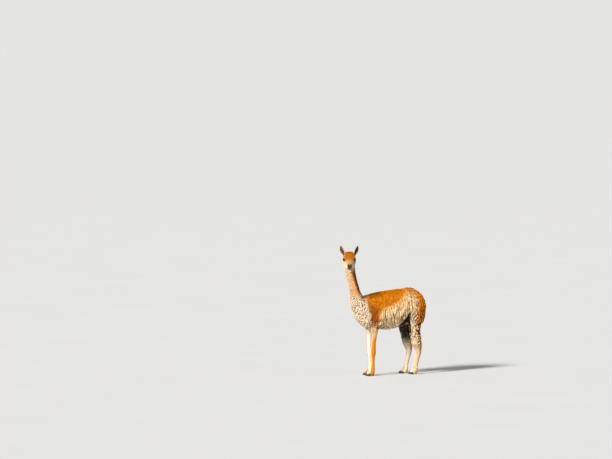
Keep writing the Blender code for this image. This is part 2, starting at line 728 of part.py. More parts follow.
def node_name(points):
    """The name of a parted piece, from where its middle lies."""
    low, high = points.min(0), points.max(0)
    middle = (low + high) / 2
    side = "left" if middle[0] > 0 else "right"
    end = "fore" if middle[1] < 0.05 else "hind"
    local = head_matrix().inverted() @ Vector(middle)
    if middle[2] > 1.25 and high[2] - low[2] < 0.14 and abs(local.x) > 0.03:
        return "ear_left" if local.x > 0 else "ear_right"
    if high[2] > 1.25 and low[2] > 1.0:
        return "head"
    if high[2] > 1.0:
        return "neck"
    if high[2] > 0.7:
        return "torso"
    if high[2] > 0.3:
        return f"leg_{end}_{side}_upper"
    if high[2] > 0.2:
        return f"leg_{end}_{side}_lower"
    if high[2] > 0.06:
        return f"foot_{end}_{side}"
    track = FORE_TRACK if end == "fore" else HIND_TRACK
    place = "outer" if abs(middle[0]) > track else "inner"
    return f"nail_{end}_{side}_{place}"


def parted(body):
    """The body's pieces as objects of their own. Only the largest closed surface of each name is kept."""
    best = {}
    for points, faces in islands(body):
        name = node_name(points)
        size = np.prod(np.maximum(points.max(0) - points.min(0), 1e-6))
        if name not in best or size > best[name][0]:
            best[name] = (size, points, faces)
    bpy.data.objects.remove(body)
    return {name: solid(name, points, faces) for name, (_, points, faces) in best.items()}


def eyes():
    made = {}
    for word, side in (("left", 1), ("right", -1)):
        eye = np.array(EYE_PLACE) * (side, 1, 1)
        obj = ball(f"eye_{word}", eye, [EYE_RADIUS] * 3, 14, 9, Matrix.Rotation(math.pi / 2, 4, "Y"))
        obj.data.transform(head_matrix())
        made[obj.name] = outward(obj)
    return made


def fitted_tail(torso):
    """The tail, cut to the rump that it lies on, drawn back from it by the gap and cut clear of it once more."""
    obj = tail()
    for step in (GAP * TAIL_STEP, 0):
        form = torso.copy()
        form.data = torso.data.copy()
        bpy.context.scene.collection.objects.link(form)
        form.data.transform(Matrix.Translation((0, GAP * (TAIL_STEP - 1) if step == 0 else 0, 0)))
        obj = boolean(obj, [form], "DIFFERENCE")
        points, faces = max(islands(obj), key=lambda island: len(island[0]))
        bpy.data.objects.remove(obj)
        obj = solid("tail", points, faces)
        obj.data.transform(Matrix.Translation((0, step, 0)))
    return obj


def centre_on_floor(nodes):
    """Moves every piece alike, so that the middle of the whole object's box stands at the origin."""
    points = np.vstack([np.array([v.co for v in obj.data.vertices]) for obj in nodes.values()])
    low, high = points.min(0), points.max(0)
    shift = Matrix.Translation((-(low[0] + high[0]) / 2, -(low[1] + high[1]) / 2, 0))
    for obj in nodes.values():
        obj.data.transform(shift)


def main():
    clear_scene()
    body = flesh()
    boolean(body, face_cutters(), "DIFFERENCE")
    boolean(body, parting_slabs(), "DIFFERENCE")
    nodes = parted(body)
    nodes["tail"] = fitted_tail(nodes["torso"])
    nodes.update(eyes())
    centre_on_floor(nodes)
    finishes = {
        "eye": material("eye", 0.08),
        "nail": material("horn", 0.5),
        "foot": material("cream", 0.8),
    }
    coat = material("fawn", 0.85)
    for name, obj in nodes.items():
        obj.data.materials.clear()
        obj.data.materials.append(finishes.get(name.split("_")[0], coat))


main()
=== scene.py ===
"""A vicuna, life size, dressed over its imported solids: skin, coat, face, nails, floor, light and camera.

Metres, +Z up, the nose end of the trunk at -Y and the animal's left at +X. "Ahead" is a distance towards -Y.
Forms are worked out in the frame in which the solids were drawn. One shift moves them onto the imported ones.
"""
import math

import bmesh
import bpy
import numpy as np
from mathutils import Matrix, Vector


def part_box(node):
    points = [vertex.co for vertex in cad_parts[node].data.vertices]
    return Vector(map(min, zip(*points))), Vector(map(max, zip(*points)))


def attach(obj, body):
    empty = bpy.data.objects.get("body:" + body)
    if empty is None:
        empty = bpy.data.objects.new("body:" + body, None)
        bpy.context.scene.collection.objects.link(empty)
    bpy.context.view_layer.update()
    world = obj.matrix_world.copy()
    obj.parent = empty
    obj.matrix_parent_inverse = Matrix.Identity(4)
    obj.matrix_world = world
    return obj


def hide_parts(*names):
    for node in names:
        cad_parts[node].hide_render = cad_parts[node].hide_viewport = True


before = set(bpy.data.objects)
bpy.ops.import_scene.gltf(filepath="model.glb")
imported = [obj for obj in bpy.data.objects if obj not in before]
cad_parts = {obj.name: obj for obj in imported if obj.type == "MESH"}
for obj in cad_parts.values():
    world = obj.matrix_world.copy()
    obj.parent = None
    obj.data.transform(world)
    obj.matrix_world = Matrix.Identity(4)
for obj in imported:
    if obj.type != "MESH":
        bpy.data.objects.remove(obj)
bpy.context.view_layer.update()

SEED = 20
SIDES = (("left", 1), ("right", -1))

# How the head is carried.
HEAD_YAW = math.radians(58)
HEAD_PITCH = math.radians(24)
POLL_AHEAD = 0.442
POLL_HEIGHT = 1.245
HEAD_LENGTH = 0.241
EYE_RADIUS = 0.0185
EYE_PLACE = (0.0462, 0.1040, 0.0180)
EYE_OPEN = (0.90, 0.63)
EAR_LENGTH = 0.098
EAR_WIDTH = 0.0240
EAR_DEPTH = 0.0150
EAR_WALL = 0.0035
EAR_PLACE = (0.0520, 0.0330, 0.0470)
EAR_SPLAY = math.radians(27)
EAR_BACK_TILT = math.radians(17)
EAR_TURN = math.radians(28)

# Standing.
FORE_TRACK = 0.062
HIND_TRACK = 0.082
FAR_FORE_BACK = 0.060
FAR_HIND_AHEAD = 0.010

# Where wool grows, the skin lies this far inside the rows' outline: less on the neck, over these heights.
WOOL_DEPTH = 0.013
NECK_WOOL_DEPTH = 0.006
NECK_WOOL_FROM = (0.80, 0.92)
VOXEL = 0.0024
THINNED = 0.16
HEAD_REACH = 0.30
FACE_FROM = 0.072
SOLE_HEIGHT = 0.0045

# Trunk and neck: ahead and height of the upper line, ahead and height of the lower line, half width.
TRUNK_ROWS = [
    (-0.485, 0.780, -0.485, 0.650, 0.070),
    (-0.438, 0.860, -0.438, 0.585, 0.125),
    (-0.340, 0.905, -0.345, 0.545, 0.155),
    (-0.195, 0.907, -0.215, 0.506, 0.165),
    (-0.040, 0.893, -0.060, 0.481, 0.170),
    (0.105, 0.876, 0.090, 0.474, 0.160),
    (0.205, 0.856, 0.215, 0.488, 0.146),
    (0.262, 0.838, 0.292, 0.548, 0.130),
    (0.283, 0.845, 0.362, 0.650, 0.108),
    (0.298, 0.868, 0.399, 0.775, 0.085),
    (0.316, 0.905, 0.414, 0.868, 0.066),
    (0.342, 0.985, 0.440, 0.957, 0.056),
    (0.362, 1.062, 0.468, 1.040, 0.053),
    (0.372, 1.120, 0.488, 1.105, 0.056),
    (0.373, 1.175, 0.497, 1.165, 0.058),
    (0.383, 1.218, 0.490, 1.206, 0.049),
]
TRUNK_POLES = ((-0.500, 0.715), (0.436, 1.244))
TRUNK_TAPER = 0.10

# Legs: ahead, height, half depth, half width. The track is added to the side.
FORE_ROWS = [
    (0.190, 0.640, 0.085, 0.052),
    (0.165, 0.545, 0.066, 0.046),
    (0.160, 0.480, 0.048, 0.038),
    (0.166, 0.400, 0.031, 0.027),
    (0.175, 0.330, 0.0235, 0.0215),
    (0.179, 0.275, 0.0275, 0.0245),
    (0.180, 0.235, 0.0285, 0.0250),
    (0.181, 0.190, 0.0185, 0.0175),
    (0.183, 0.130, 0.0175, 0.0165),
    (0.186, 0.088, 0.0215, 0.0220),
]
HIND_ROWS = [
    (-0.305, 0.720, 0.130, 0.066),
    (-0.315, 0.620, 0.115, 0.068),
    (-0.324, 0.540, 0.089, 0.062),
    (-0.330, 0.460, 0.066, 0.055),
    (-0.346, 0.395, 0.056, 0.045),
    (-0.356, 0.345, 0.050, 0.036),
    (-0.370, 0.295, 0.048, 0.029),
    (-0.384, 0.225, 0.029, 0.023),
    (-0.362, 0.145, 0.022, 0.019),
    (-0.346, 0.088, 0.0235, 0.022),
]

# Below the fetlock, against the leg's last row: step ahead, height, share of its half depth and half width.
PASTERN = ((0.004, 0.066, 0.93, 0.93), (0.011, 0.046, 0.70, 0.76))

# Toe, from below the fetlock: ahead and height of the upper line, of the lower line, half width.
TOE_ROWS = [
    (0.004, 0.098, -0.018, 0.086, 0.0125),
    (0.015, 0.075, -0.014, 0.056, 0.0130),
    (0.030, 0.053, -0.012, 0.022, 0.0140),
    (0.045, 0.038, 0.000, -0.003, 0.0145),
    (0.060, 0.029, 0.036, -0.004, 0.0130),
    (0.073, 0.018, 0.060, -0.002, 0.0095),
]
TOE_POLES = ((-0.006, 0.104), (0.080, 0.004))
TOE_SPREAD = 0.0130
TOE_SPLAY = math.radians(7)
TOE_TAPER = 0.15
NAIL_CUT = 0.049
NAIL_PROUD = 0.0011

# Head, in its own frame: along and up of the upper line, of the lower line, half width.
HEAD_ROWS = [
    (-0.030, 0.024, -0.028, -0.054, 0.042),
    (-0.010, 0.052, -0.008, -0.070, 0.053),
    (0.016, 0.066, 0.014, -0.080, 0.061),
    (0.044, 0.072, 0.040, -0.083, 0.065),
    (0.074, 0.071, 0.070, -0.079, 0.066),
    (0.102, 0.062, 0.100, -0.070, 0.063),
    (0.130, 0.054, 0.129, -0.063, 0.055),
    (0.160, 0.044, 0.160, -0.058, 0.0465),
    (0.190, 0.037, 0.190, -0.055, 0.0420),
    (0.214, 0.031, 0.213, -0.051, 0.0390),
    (0.230, 0.021, 0.228, -0.041, 0.0330),
    (0.2380, 0.006, 0.2355, -0.026, 0.0215),
]
HEAD_POLES = ((-0.044, -0.014), (HEAD_LENGTH, -0.010))
HEAD_TAPER = -0.04

# Mouth: turn in degrees from the front about a point on the head's middle line, height of the line.
MOUTH_AXIS = 0.186
MOUTH_TURN = (0, 24, 48, 72, 96, 118, 132)
MOUTH_HEIGHT = (-0.0225, -0.0225, -0.0240, -0.0262, -0.0290, -0.0315, -0.0325)
NOSTRIL = ((0.0065, 0.2370, -0.0045), (0.0130, 0.2350, 0.0035), (0.0215, 0.2270, 0.0060))

# Eggs in the head's frame, as centre and half sizes, alike on both sides. The folds also have a height.
FACE_FOLDS = {
    "brow": ((0.049, 0.094, 0.036), (0.016, 0.026, 0.010), 0.0030),
    "tear": ((0.052, 0.127, 0.006), (0.020, 0.012, 0.008), -0.0022),
    "cheek": ((0.055, 0.085, -0.030), (0.030, 0.032, 0.026), 0.0035),
    "hollow": ((0.045, 0.150, -0.014), (0.030, 0.022, 0.018), -0.0030),
}

# Marks round the eye, over it, below, ahead and just ahead: colour, egg, width of the fade, share.
FACE_MARKS = (
    ("neck_front", ((0.057, 0.084, 0.036), (0.022, 0.024, 0.016)), 0.95, 0.85),
    ("neck_front", ((0.052, 0.132, -0.002), (0.024, 0.030, 0.016)), 1.0, 0.6),
    ("lid", ((0.047, 0.134, 0.022), (0.014, 0.013, 0.009)), 0.9, 0.70),
    ("lid", ((0.050, 0.121, 0.021), (0.017, 0.016, 0.012)), 0.85, 0.92),
)

# Eggs of the nose, dark, darker over it and bare, and of the longer hair on crown and cheek.
NOSE_PAD = ((0.002, 0.236, 0.002), (0.025, 0.030, 0.031))
NOSE_TOP = ((0.010, 0.226, 0.021), (0.015, 0.014, 0.010))
BARE_PAD = ((0.004, 0.240, -0.006), (0.016, 0.016, 0.016))
CROWN = ((0.026, 0.052, 0.064), (0.040, 0.048, 0.036))
CHEEK = ((0.058, 0.055, -0.035), (0.030, 0.045, 0.035))

# Tail: ahead, height, half depth, half width.
TAIL_ROWS = [
    (-0.458, 0.800, 0.024, 0.028),
    (-0.480, 0.765, 0.024, 0.031),
    (-0.489, 0.715, 0.022, 0.034),
    (-0.490, 0.655, 0.021, 0.036),
    (-0.486, 0.600, 0.019, 0.032),
    (-0.480, 0.555, 0.014, 0.022),
]

# The tawny saddle's edge on the side, as ahead and height, from the withers down its front and back.
SADDLE_EDGE = [
    (0.300, 0.900), (0.290, 0.814), (0.275, 0.715), (0.240, 0.562), (0.225, 0.440), (0.100, 0.440),
    (0.112, 0.500), (0.150, 0.545), (0.156, 0.600), (0.150, 0.671), (0.120, 0.706), (0.048, 0.734),
    (-0.034, 0.757), (-0.112, 0.789), (-0.158, 0.829), (-0.223, 0.882), (-0.290, 0.960),
    (-0.290, 1.100), (0.300, 1.100),
]

# The brown edge behind hip and thigh, as height and ahead, and the fold between belly and thigh, dark as bare
# skin and painted shade.
BROWN_HEIGHT = (0.34, 0.40, 0.47, 0.53, 0.60, 0.72, 0.78, 0.90)
BROWN_AHEAD = (-0.366, -0.352, -0.334, -0.320, -0.308, -0.306, -0.313, -0.322)
FOLD_HEIGHT = (0.46, 0.506, 0.56, 0.619, 0.668)
FOLD_FRONT = (-0.120, -0.132, -0.160, -0.189, -0.216)
FOLD_BACK = (-0.268, -0.252, -0.242, -0.236, -0.240)
FOLD_DEPTH = 0.024
FOLD_TOP = 0.672

# The front edge of the saddle, where the pale chest begins.
FRONT_EDGE_HEIGHT = (0.46, 0.50, 0.562, 0.701, 0.814, 0.90)
FRONT_EDGE_AHEAD = (0.225, 0.212, 0.238, 0.272, 0.292, 0.305)

# Colours as seen, 0 to 255.
COLOURS = {
    "saddle": (210, 125, 5),
    "dun": (224, 168, 84),
    "saddle_low": (170, 86, 10),
    "flank": (248, 214, 168),
    "hip": (237, 209, 166),
    # The underside, darker than the flank as painted shade where the body faces down.
    "shaded_belly": (216, 182, 138),
    "rump": (238, 148, 22),
    "curl": (84, 45, 15),
    # Painted shadow of the neck on the withers, also laid down the rear of the lower neck.
    "withers_shadow": (62, 34, 15),
    "bib": (240, 217, 187),
    "neck_front": (230, 180, 120),
    "neck_low": (212, 156, 98),
    # Tawny back of the neck, darkened further as painted shade on its side away from the light.
    "neck_back": (138, 74, 20),
    "brow": (198, 116, 0),
    "bridge": (204, 153, 84),
    "cheek": (236, 216, 184),
    "nostril": (40, 28, 20),
    "nose": (76, 57, 44),
    "lip": (84, 64, 52),
    "ear_back": (158, 104, 52),
    "ear_inner": (104, 70, 46),
    "ear_fringe": (232, 210, 176),
    "leg_tan": (212, 128, 20),
    "leg_white": (244, 228, 204),
    "leg_pale": (236, 200, 156),
    # Dark of the fold between belly and thigh and of the inner thighs: bare skin, darkened as painted shade.
    "fold": (36, 18, 7),
    "lid": (30, 22, 19),
}


# Shapes

def body_point(side, ahead, up):
    """A point of the drawing frame from its side, its distance ahead and its height."""
    return Vector((side, -ahead, up))


def head_matrix():
    """The head's own frame: X to its left, Y along to the nose, Z up through the brow."""
    level = math.cos(HEAD_PITCH)
    along = Vector((math.sin(HEAD_YAW) * level, -math.cos(HEAD_YAW) * level, -math.sin(HEAD_PITCH)))
    left = Vector((math.cos(HEAD_YAW), math.sin(HEAD_YAW), 0))
    place = body_point(0, POLL_AHEAD, POLL_HEIGHT)
    return Matrix.Translation(place) @ Matrix((left, along, along.cross(left))).transposed().to_4x4()


HEAD = np.array(head_matrix())
EYE_AT_REST = HEAD[:3, :3] @ np.array(EYE_PLACE) + HEAD[:3, 3]
SHIFT = np.array(sum(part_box("eye_left"), Vector()) / 2) - EYE_AT_REST
SHIFT[2] = 0


def moved(points, matrix):
    """Each point turned and placed by a four by four matrix."""
    matrix = np.asarray(matrix)
    return points @ matrix[:3, :3].T + matrix[:3, 3]


def head_local(points):
    """Points in the head's own frame."""
    return (points - HEAD[:3, 3]) @ HEAD[:3, :3]


def smooth(low, high, value):
    """0 below low, 1 above high, and 3t^2 - 2t^3 between them."""
    t = np.clip((value - low) / (high - low), 0, 1)
    return t * t * (3 - 2 * t)


def fall(low, high, value):
    """1 below low and 0 above high."""
    return 1 - smooth(low, high, value)


def bell(value, width):
    """exp(-(value / width)^2)."""
    return np.exp(-(value / width) ** 2)


def egg_distance(points, centre, size):
    """Distance from a centre, 1 on the egg of the given half sizes."""
    return np.linalg.norm((points - centre) / size, axis=1)


def eased(rows, steps):
    """Rows read along a Catmull-Rom curve through them, with the given steps between neighbours."""
    rows = np.asarray(rows, float)
    padded = np.vstack([2 * rows[0] - rows[1], rows, 2 * rows[-1] - rows[-2]])
    t = np.linspace(0, 1, steps, endpoint=False)[None, :, None]
    a, b, c, d = (padded[i : len(padded) - 3 + i, None] for i in range(4))
    cubic = (3 * b - a - 3 * c + d) * t**3
    curve = 0.5 * (2 * b + (c - a) * t + (2 * a - 5 * b + 4 * c - d) * t**2 + cubic)
    return np.vstack([curve.reshape(-1, rows.shape[1]), rows[-1]])


def unit(vectors):
    """Each vector over its length."""
    return vectors / np.maximum(np.linalg.norm(vectors, axis=-1, keepdims=True), 1e-12)


def outline_rings(rows, around, taper):
    """Rings in a frame of (side, along, up): ovals between the upper and the lower line of each row."""
    angle = np.linspace(0, 2 * math.pi, around, endpoint=False)
    upper, lower, half = rows[:, None, 0:2], rows[:, None, 2:4], rows[:, None, 4]
    line = (upper + lower) / 2 + (upper - lower) / 2 * np.sin(angle)[None, :, None]
    side = half * np.cos(angle)[None] * (1 - taper * np.sin(angle)[None])
    return np.dstack([side, line])


def level_rings(rows, around, track, shift, wool):
    """Level ovals from rows of ahead, height, half depth and half width. The shift grows downwards."""
    angle = np.linspace(0, 2 * math.pi, around, endpoint=False)
    drop = (rows[0, 1] - rows[:, 1]) / rows[0, 1]
    rings = np.zeros((len(rows), around, 3))
    rings[..., 0] = track + (rows[:, 3] - wool)[:, None] * np.cos(angle)
    rings[..., 1] = -((rows[:, 0] + shift * drop)[:, None] + (rows[:, 2] - wool)[:, None] * np.sin(angle))
    rings[..., 2] = rows[:, None, 1]
    return rings


def loft(rings, poles):
    """Points and triangles of a closed surface through rings of points, shut by a pole at either end."""
    count, around = rings.shape[:2]
    points = np.vstack([rings.reshape(-1, 3), np.array(poles, float)])
    i, j = np.meshgrid(np.arange(count - 1), np.arange(around), indexing="ij")
    k = (j + 1) % around
    a, b, c, d = i * around + j, i * around + k, (i + 1) * around + k, (i + 1) * around + j
    j, k = np.arange(around), (np.arange(around) + 1) % around
    last = (count - 1) * around
    faces = [
        np.stack([a, b, c], -1).reshape(-1, 3),
        np.stack([a, c, d], -1).reshape(-1, 3),
        np.stack([np.full(around, count * around), k, j], -1),
        np.stack([np.full(around, count * around + 1), last + j, last + k], -1),
    ]
    return outward(points, np.vstack(faces))


def outward(points, faces):
    """The same triangles, turned round if the volume that they enclose comes out negative."""
    corners = points[faces]
    volume = (corners[:, 0] * np.cross(corners[:, 1], corners[:, 2])).sum()
    return points, faces[:, ::-1] if volume < 0 else faces


def ring_tube(path, radii, centre, around):
    """A closed ring of tube: circles of the given radii about each point of a loop."""
    count = len(path)
    along = unit(np.roll(path, -1, 0) - np.roll(path, 1, 0))
    out = path - centre
    out = unit(out - along * (out * along).sum(1)[:, None])
    other = np.cross(along, out)
    angle = np.linspace(0, 2 * math.pi, around, endpoint=False)
    circle = out[:, None] * np.cos(angle)[None, :, None] + other[:, None] * np.sin(angle)[None, :, None]
    points = (path[:, None] + circle * radii[:, None, None]).reshape(-1, 3)
    i, j = np.meshgrid(np.arange(count), np.arange(around), indexing="ij")
    k, n = (j + 1) % around, (i + 1) % count
    a, b, c, d = i * around + j, i * around + k, n * around + k, n * around + j
    faces = np.vstack([np.stack([a, b, c], -1).reshape(-1, 3), np.stack([a, c, d], -1).reshape(-1, 3)])
    return outward(points, faces)


def joined(shapes):
    """Several (points, triangles) as one."""
    points, faces, base = [], [], 0
    for some, tris in shapes:
        points.append(some)
        faces.append(tris + base)
        base += len(some)
    return np.vstack(points), np.vstack(faces)


def mesh_object(name, points, faces, shift=True):
    """A mesh object of smooth triangles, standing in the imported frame."""
    mesh = bpy.data.meshes.new(name)
    mesh.vertices.add(len(points))
    put_points(mesh, points, SHIFT if shift else 0)
    mesh.loops.add(faces.size)
    mesh.loops.foreach_set("vertex_index", faces.astype(np.int32).ravel())
    mesh.polygons.add(len(faces))
    mesh.polygons.foreach_set("loop_start", np.arange(0, faces.size, 3, dtype=np.int32))
    mesh.polygons.foreach_set("use_smooth", np.ones(len(faces), bool))
    mesh.update(calc_edges=True)
    mesh.validate()
    obj = bpy.data.objects.new(name, mesh)
    bpy.context.scene.collection.objects.link(obj)
    return obj


def put_points(mesh, points, shift=SHIFT):
    """Places a mesh's points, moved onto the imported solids."""
    mesh.vertices.foreach_set("co", (points + shift).astype(np.float32).ravel())


def arrays_of(mesh):
    """Points and triangles of a mesh, in the drawing frame."""
    mesh.calc_loop_triangles()
    points = np.empty(len(mesh.vertices) * 3)
    mesh.vertices.foreach_get("co", points)
    faces = np.empty(len(mesh.loop_triangles) * 3, np.int32)
    mesh.loop_triangles.foreach_get("vertices", faces)
    return points.reshape(-1, 3) - SHIFT, faces.reshape(-1, 3)


def linear(name):
    """A named colour in linear light."""
    value = np.array(COLOURS[name]) / 255
    return np.where(value <= 0.04045, value / 12.92, ((value + 0.055) / 1.055) ** 2.4)


def colour_attribute(obj, values):
    """The colours that the materials read, opaque, one at each point."""
    layer = obj.data.attributes.new("coat", "FLOAT_COLOR", "POINT")
    values = np.column_stack([values, np.ones(len(values))])
    layer.data.foreach_set("color", values.astype(np.float32).ravel())


def number_attribute(obj, name, values):
    """A named number at each point, for the materials to read."""
    layer = obj.data.attributes.new(name, "FLOAT", "POINT")
    layer.data.foreach_set("value", values.astype(np.float32).ravel())


# Skin

def trunk_shape(around, steps):
    """The core of trunk and neck, inside its outline by the depth of the wool."""
    rings = outline_rings(eased(TRUNK_ROWS, steps), around, TRUNK_TAPER)
    rings[..., 1] *= -1
    depth = np.interp(rings[..., 2].mean(1), NECK_WOOL_FROM, (WOOL_DEPTH, NECK_WOOL_DEPTH))
    middle = rings.mean(axis=1, keepdims=True)
    out = rings - middle
    rings = middle + out * (1 - depth[:, None, None] / np.linalg.norm(out, axis=2, keepdims=True))
    rear, top = (np.array(body_point(0, *pole)) for pole in TRUNK_POLES)
    return loft(rings, [rear - (0, WOOL_DEPTH, 0), top])


def leg_shape(rows, track, shift):
    """Level ovals down to the fetlock, then two more that lose themselves between the toes."""
    ahead, _, depth, half = rows[-1]
    pastern = [(ahead + step, height, depth * deep, half * wide) for step, height, deep, wide in PASTERN]
    rows = eased(rows + pastern, 8)
    wool = np.interp(rows[:, 1], (0.33, 0.46), (0.0, WOOL_DEPTH * 0.7))
    rings = level_rings(rows, 40, track, shift, wool)
    return loft(rings, [rings[0].mean(0) + (0, 0, 0.03), rings[-1].mean(0) - (0, 0, 0.012)])


def legs():
    """Each leg's rows, its track, and how far ahead its foot is moved: only those of the far legs are."""
    kinds = ((FORE_ROWS, FORE_TRACK, -FAR_FORE_BACK), (HIND_ROWS, HIND_TRACK, FAR_HIND_AHEAD))
    for side in (1, -1):
        for rows, track, shift in kinds:
            yield rows, side * track, 0 if side > 0 else shift


def toe_matrix(track, ahead, side):
    """The place of one of a foot's two toes, turned outwards."""
    place = body_point(track + side * TOE_SPREAD, ahead, 0)
    return Matrix.Translation(place) @ Matrix.Rotation(side * TOE_SPLAY, 4, "Z")


def toe_rings(rows, around):
    """Rings of a toe that points to -Y, with none of it under the ground."""
    rings = outline_rings(rows, around, TOE_TAPER)
    rings[..., 1] *= -1
    rings[..., 2] = np.maximum(rings[..., 2], 0)
    return rings


def toe_shapes(rings, poles):
    """The same toe at its eight places, two to a foot."""
    drop = (FORE_ROWS[0][1] - FORE_ROWS[-1][1]) / FORE_ROWS[0][1]
    shapes = []
    for rows, track, shift in legs():
        for side in (1, -1):
            place = toe_matrix(track, rows[-1][0] + shift * drop, side)
            shapes.append(loft(moved(rings, place), moved(poles, place)))
    return shapes


def head_shape():
    """Ovals along the head in its own frame, put in their place."""
    rings = outline_rings(eased(HEAD_ROWS, 6), 72, HEAD_TAPER)
    return loft(moved(rings, HEAD), moved(np.array([(0, *pole) for pole in HEAD_POLES]), HEAD))


def relaxed(points, faces, shares, rounds):
    """Each point goes a share of the way to its neighbours' mean; a negative share takes it back again."""
    ends = np.vstack([faces[:, [0, 1]], faces[:, [1, 2]], faces[:, [2, 0]]])
    a, b = ends[:, 0], ends[:, 1]
    count = np.bincount(a, minlength=len(points))[:, None]
    for _ in range(rounds):
        for share in shares:
            total = np.stack([np.bincount(a, points[b, k], len(points)) for k in range(3)], 1)
            points = points + share * (total / np.maximum(count, 1) - points)
    return points


def applied(obj):
    """The object with its modifiers worked into its mesh."""
    made = bpy.data.meshes.new_from_object(obj.evaluated_get(bpy.context.evaluated_depsgraph_get()))
    obj.modifiers.clear()
    old = obj.data
    obj.data = made
    bpy.data.meshes.remove(old)
    return obj


def mouth_line(local):
    """How far a point of the muzzle lies above the mouth, and its turn from the front in degrees."""
    turn = np.degrees(np.arctan2(np.abs(local[:, 0]), local[:, 1] - MOUTH_AXIS))
    return local[:, 2] - np.interp(turn, MOUTH_TURN, MOUTH_HEIGHT), turn


def segment_distance(points, a, b):
    """Distance from each point to the straight line between two others."""
    a, b = np.array(a), np.array(b)
    t = np.clip(((points - a) @ (b - a)) / ((b - a) @ (b - a)), 0, 1)
    return np.linalg.norm(points - a - t[:, None] * (b - a), axis=1)


def nostril_distance(folded):
    """Distance from the nostril's bent line."""
    return np.minimum(segment_distance(folded, *NOSTRIL[:2]), segment_distance(folded, *NOSTRIL[1:]))


def mirrored(local):
    """Head points with both sides folded onto its left."""
    return np.column_stack([np.abs(local[:, 0]), local[:, 1:]])


def eye_reach(folded):
    """1 on the rim of the eye's opening, less inside it."""
    along = (folded[:, 1] - EYE_PLACE[1]) / (EYE_RADIUS * EYE_OPEN[0])
    rise = (folded[:, 2] - EYE_PLACE[2]) / (EYE_RADIUS * EYE_OPEN[1])
    return np.hypot(along, rise)


def sculpted_face(points, normals):
    """Folds of the face, as moves along the normal: nostrils, mouth, lips, cleft, brow, cheek, socket."""
    local = head_local(points)
    folded = mirrored(local)
    along, up = local[:, 1], local[:, 2]
    near = np.linalg.norm(local, axis=1) < HEAD_REACH
    muzzle = smooth(0.150, 0.175, along) * near
    gap, turn = mouth_line(local)
    lips = muzzle * fall(112, 134, turn)
    cleft = smooth(0.222, 0.232, along) * smooth(-0.024, -0.016, up) * fall(-0.004, 0.004, up)
    hole = nostril_distance(folded)
    move = np.zeros(len(points))
    for height, distance, width, share in (
        (-0.0034, gap, 0.0015, lips),
        (0.0020, gap - 0.0062, 0.0046, lips),
        (0.0016, gap + 0.0058, 0.0042, lips),
        (-0.0080, hole, 0.0026, muzzle),
        (0.0014, hole - 0.0060, 0.0026, muzzle),
        (-0.0026, local[:, 0], 0.0013, cleft),
    ):
        move += height * bell(distance, width) * share
    for name, (centre, size, height) in FACE_FOLDS.items():
        share = smooth(0.02, 0.05, along) if name == "brow" else 1
        move += height * bell(egg_distance(folded, centre, size), 1) * share
    local = head_local(points + normals * (move * near)[:, None])
    folded = mirrored(local)
    side = near * (folded[:, 0] > 0.02) * fall(0.86, 1.10, eye_reach(folded))
    sunk = np.minimum(folded[:, 0], EYE_PLACE[0] - 0.002)
    local[:, 0] = np.sign(local[:, 0]) * (folded[:, 0] + (sunk - folded[:, 0]) * side)
    return moved(local, HEAD)


def vertex_normals(points, faces):
    """The mean of the normals of the triangles at each point, by area."""
    corners = points[faces]
    cross = np.cross(corners[:, 1] - corners[:, 0], corners[:, 2] - corners[:, 0])
    total = np.zeros_like(points)
    for k in range(3):
        for axis in range(3):
            total[:, axis] += np.bincount(faces[:, k], cross[:, axis], len(points))
    return unit(total)


def face_divided(obj):
    """The triangles of muzzle and eyes cut finer, so that the folds have points to stand on."""
    work = bmesh.new()
    work.from_mesh(obj.data)
    points = np.array([v.co for v in work.verts]) - SHIFT
    local = head_local(points)
    near = np.linalg.norm(local, axis=1) < HEAD_REACH
    fine = near & (local[:, 1] > 0.160) | (np.linalg.norm(mirrored(local) - EYE_PLACE, axis=1) < 0.032)
    work.verts.ensure_lookup_table()
    edges = [e for e in work.edges if fine[e.verts[0].index] and fine[e.verts[1].index]]
    bmesh.ops.subdivide_edges(work, edges=edges, cuts=1, use_grid_fill=True)
    bmesh.ops.triangulate(work, faces=work.faces)
    work.to_mesh(obj.data)
    work.free()


def skin_object():
    """One skin: the forms fused on a fine lattice, thinned away from the head, eased and given its folds."""
    poles = np.array([body_point(0, *pole) for pole in TOE_POLES])
    shapes = [trunk_shape(96, 8), head_shape()]
    shapes += [leg_shape(*leg) for leg in legs()]
    shapes += toe_shapes(toe_rings(eased(TOE_ROWS, 6), 28), poles)
    shapes.append(tail_shape())
    obj = mesh_object("skin", *joined(shapes))
    fuse = obj.modifiers.new("fuse", "REMESH")
    fuse.mode = "VOXEL"
    fuse.voxel_size = VOXEL
    applied(obj)
    points, faces = arrays_of(obj.data)
    points = relaxed(points, faces, (0.55, -0.57), 12)
    local = head_local(points)
    body = 1 - (local[:, 1] > FACE_FROM) * (np.linalg.norm(local, axis=1) < HEAD_REACH)
    group = obj.vertex_groups.new(name="body")
    for level in (0, 1):
        group.add(np.flatnonzero(body == level).tolist(), float(level), "REPLACE")
    put_points(obj.data, points)
    thin = obj.modifiers.new("thin", "DECIMATE")
    thin.ratio = THINNED
    thin.vertex_group = "body"
    applied(obj)
    obj.vertex_groups.clear()
    face_divided(obj)
    points, faces = arrays_of(obj.data)
    low = points[:, 2] < SOLE_HEIGHT
    points = relaxed(points, faces, (0.5,), 3)
    normals = vertex_normals(points, faces)
    fold = Place(points, normals).fold * (np.abs(points[:, 0]) > 0.05)
    points = relaxed(points - normals * (FOLD_DEPTH * fold)[:, None], faces, (0.5,), 4)
    points = sculpted_face(points, vertex_normals(points, faces))
    points[low, 2] = 0.0
    put_points(obj.data, points)
    obj.data.polygons.foreach_set("use_smooth", np.ones(len(obj.data.polygons), bool))
    obj.data.update()
    return obj


def tail_shape():
    """Level ovals down the tail."""
    rows = eased(TAIL_ROWS, 6)
    rings = level_rings(rows, 32, 0, 0, 0)
    return loft(rings, [rings[0].mean(0) + (0, 0, 0.012), rings[-1].mean(0) - (0, 0, 0.022)])


# Coat fields

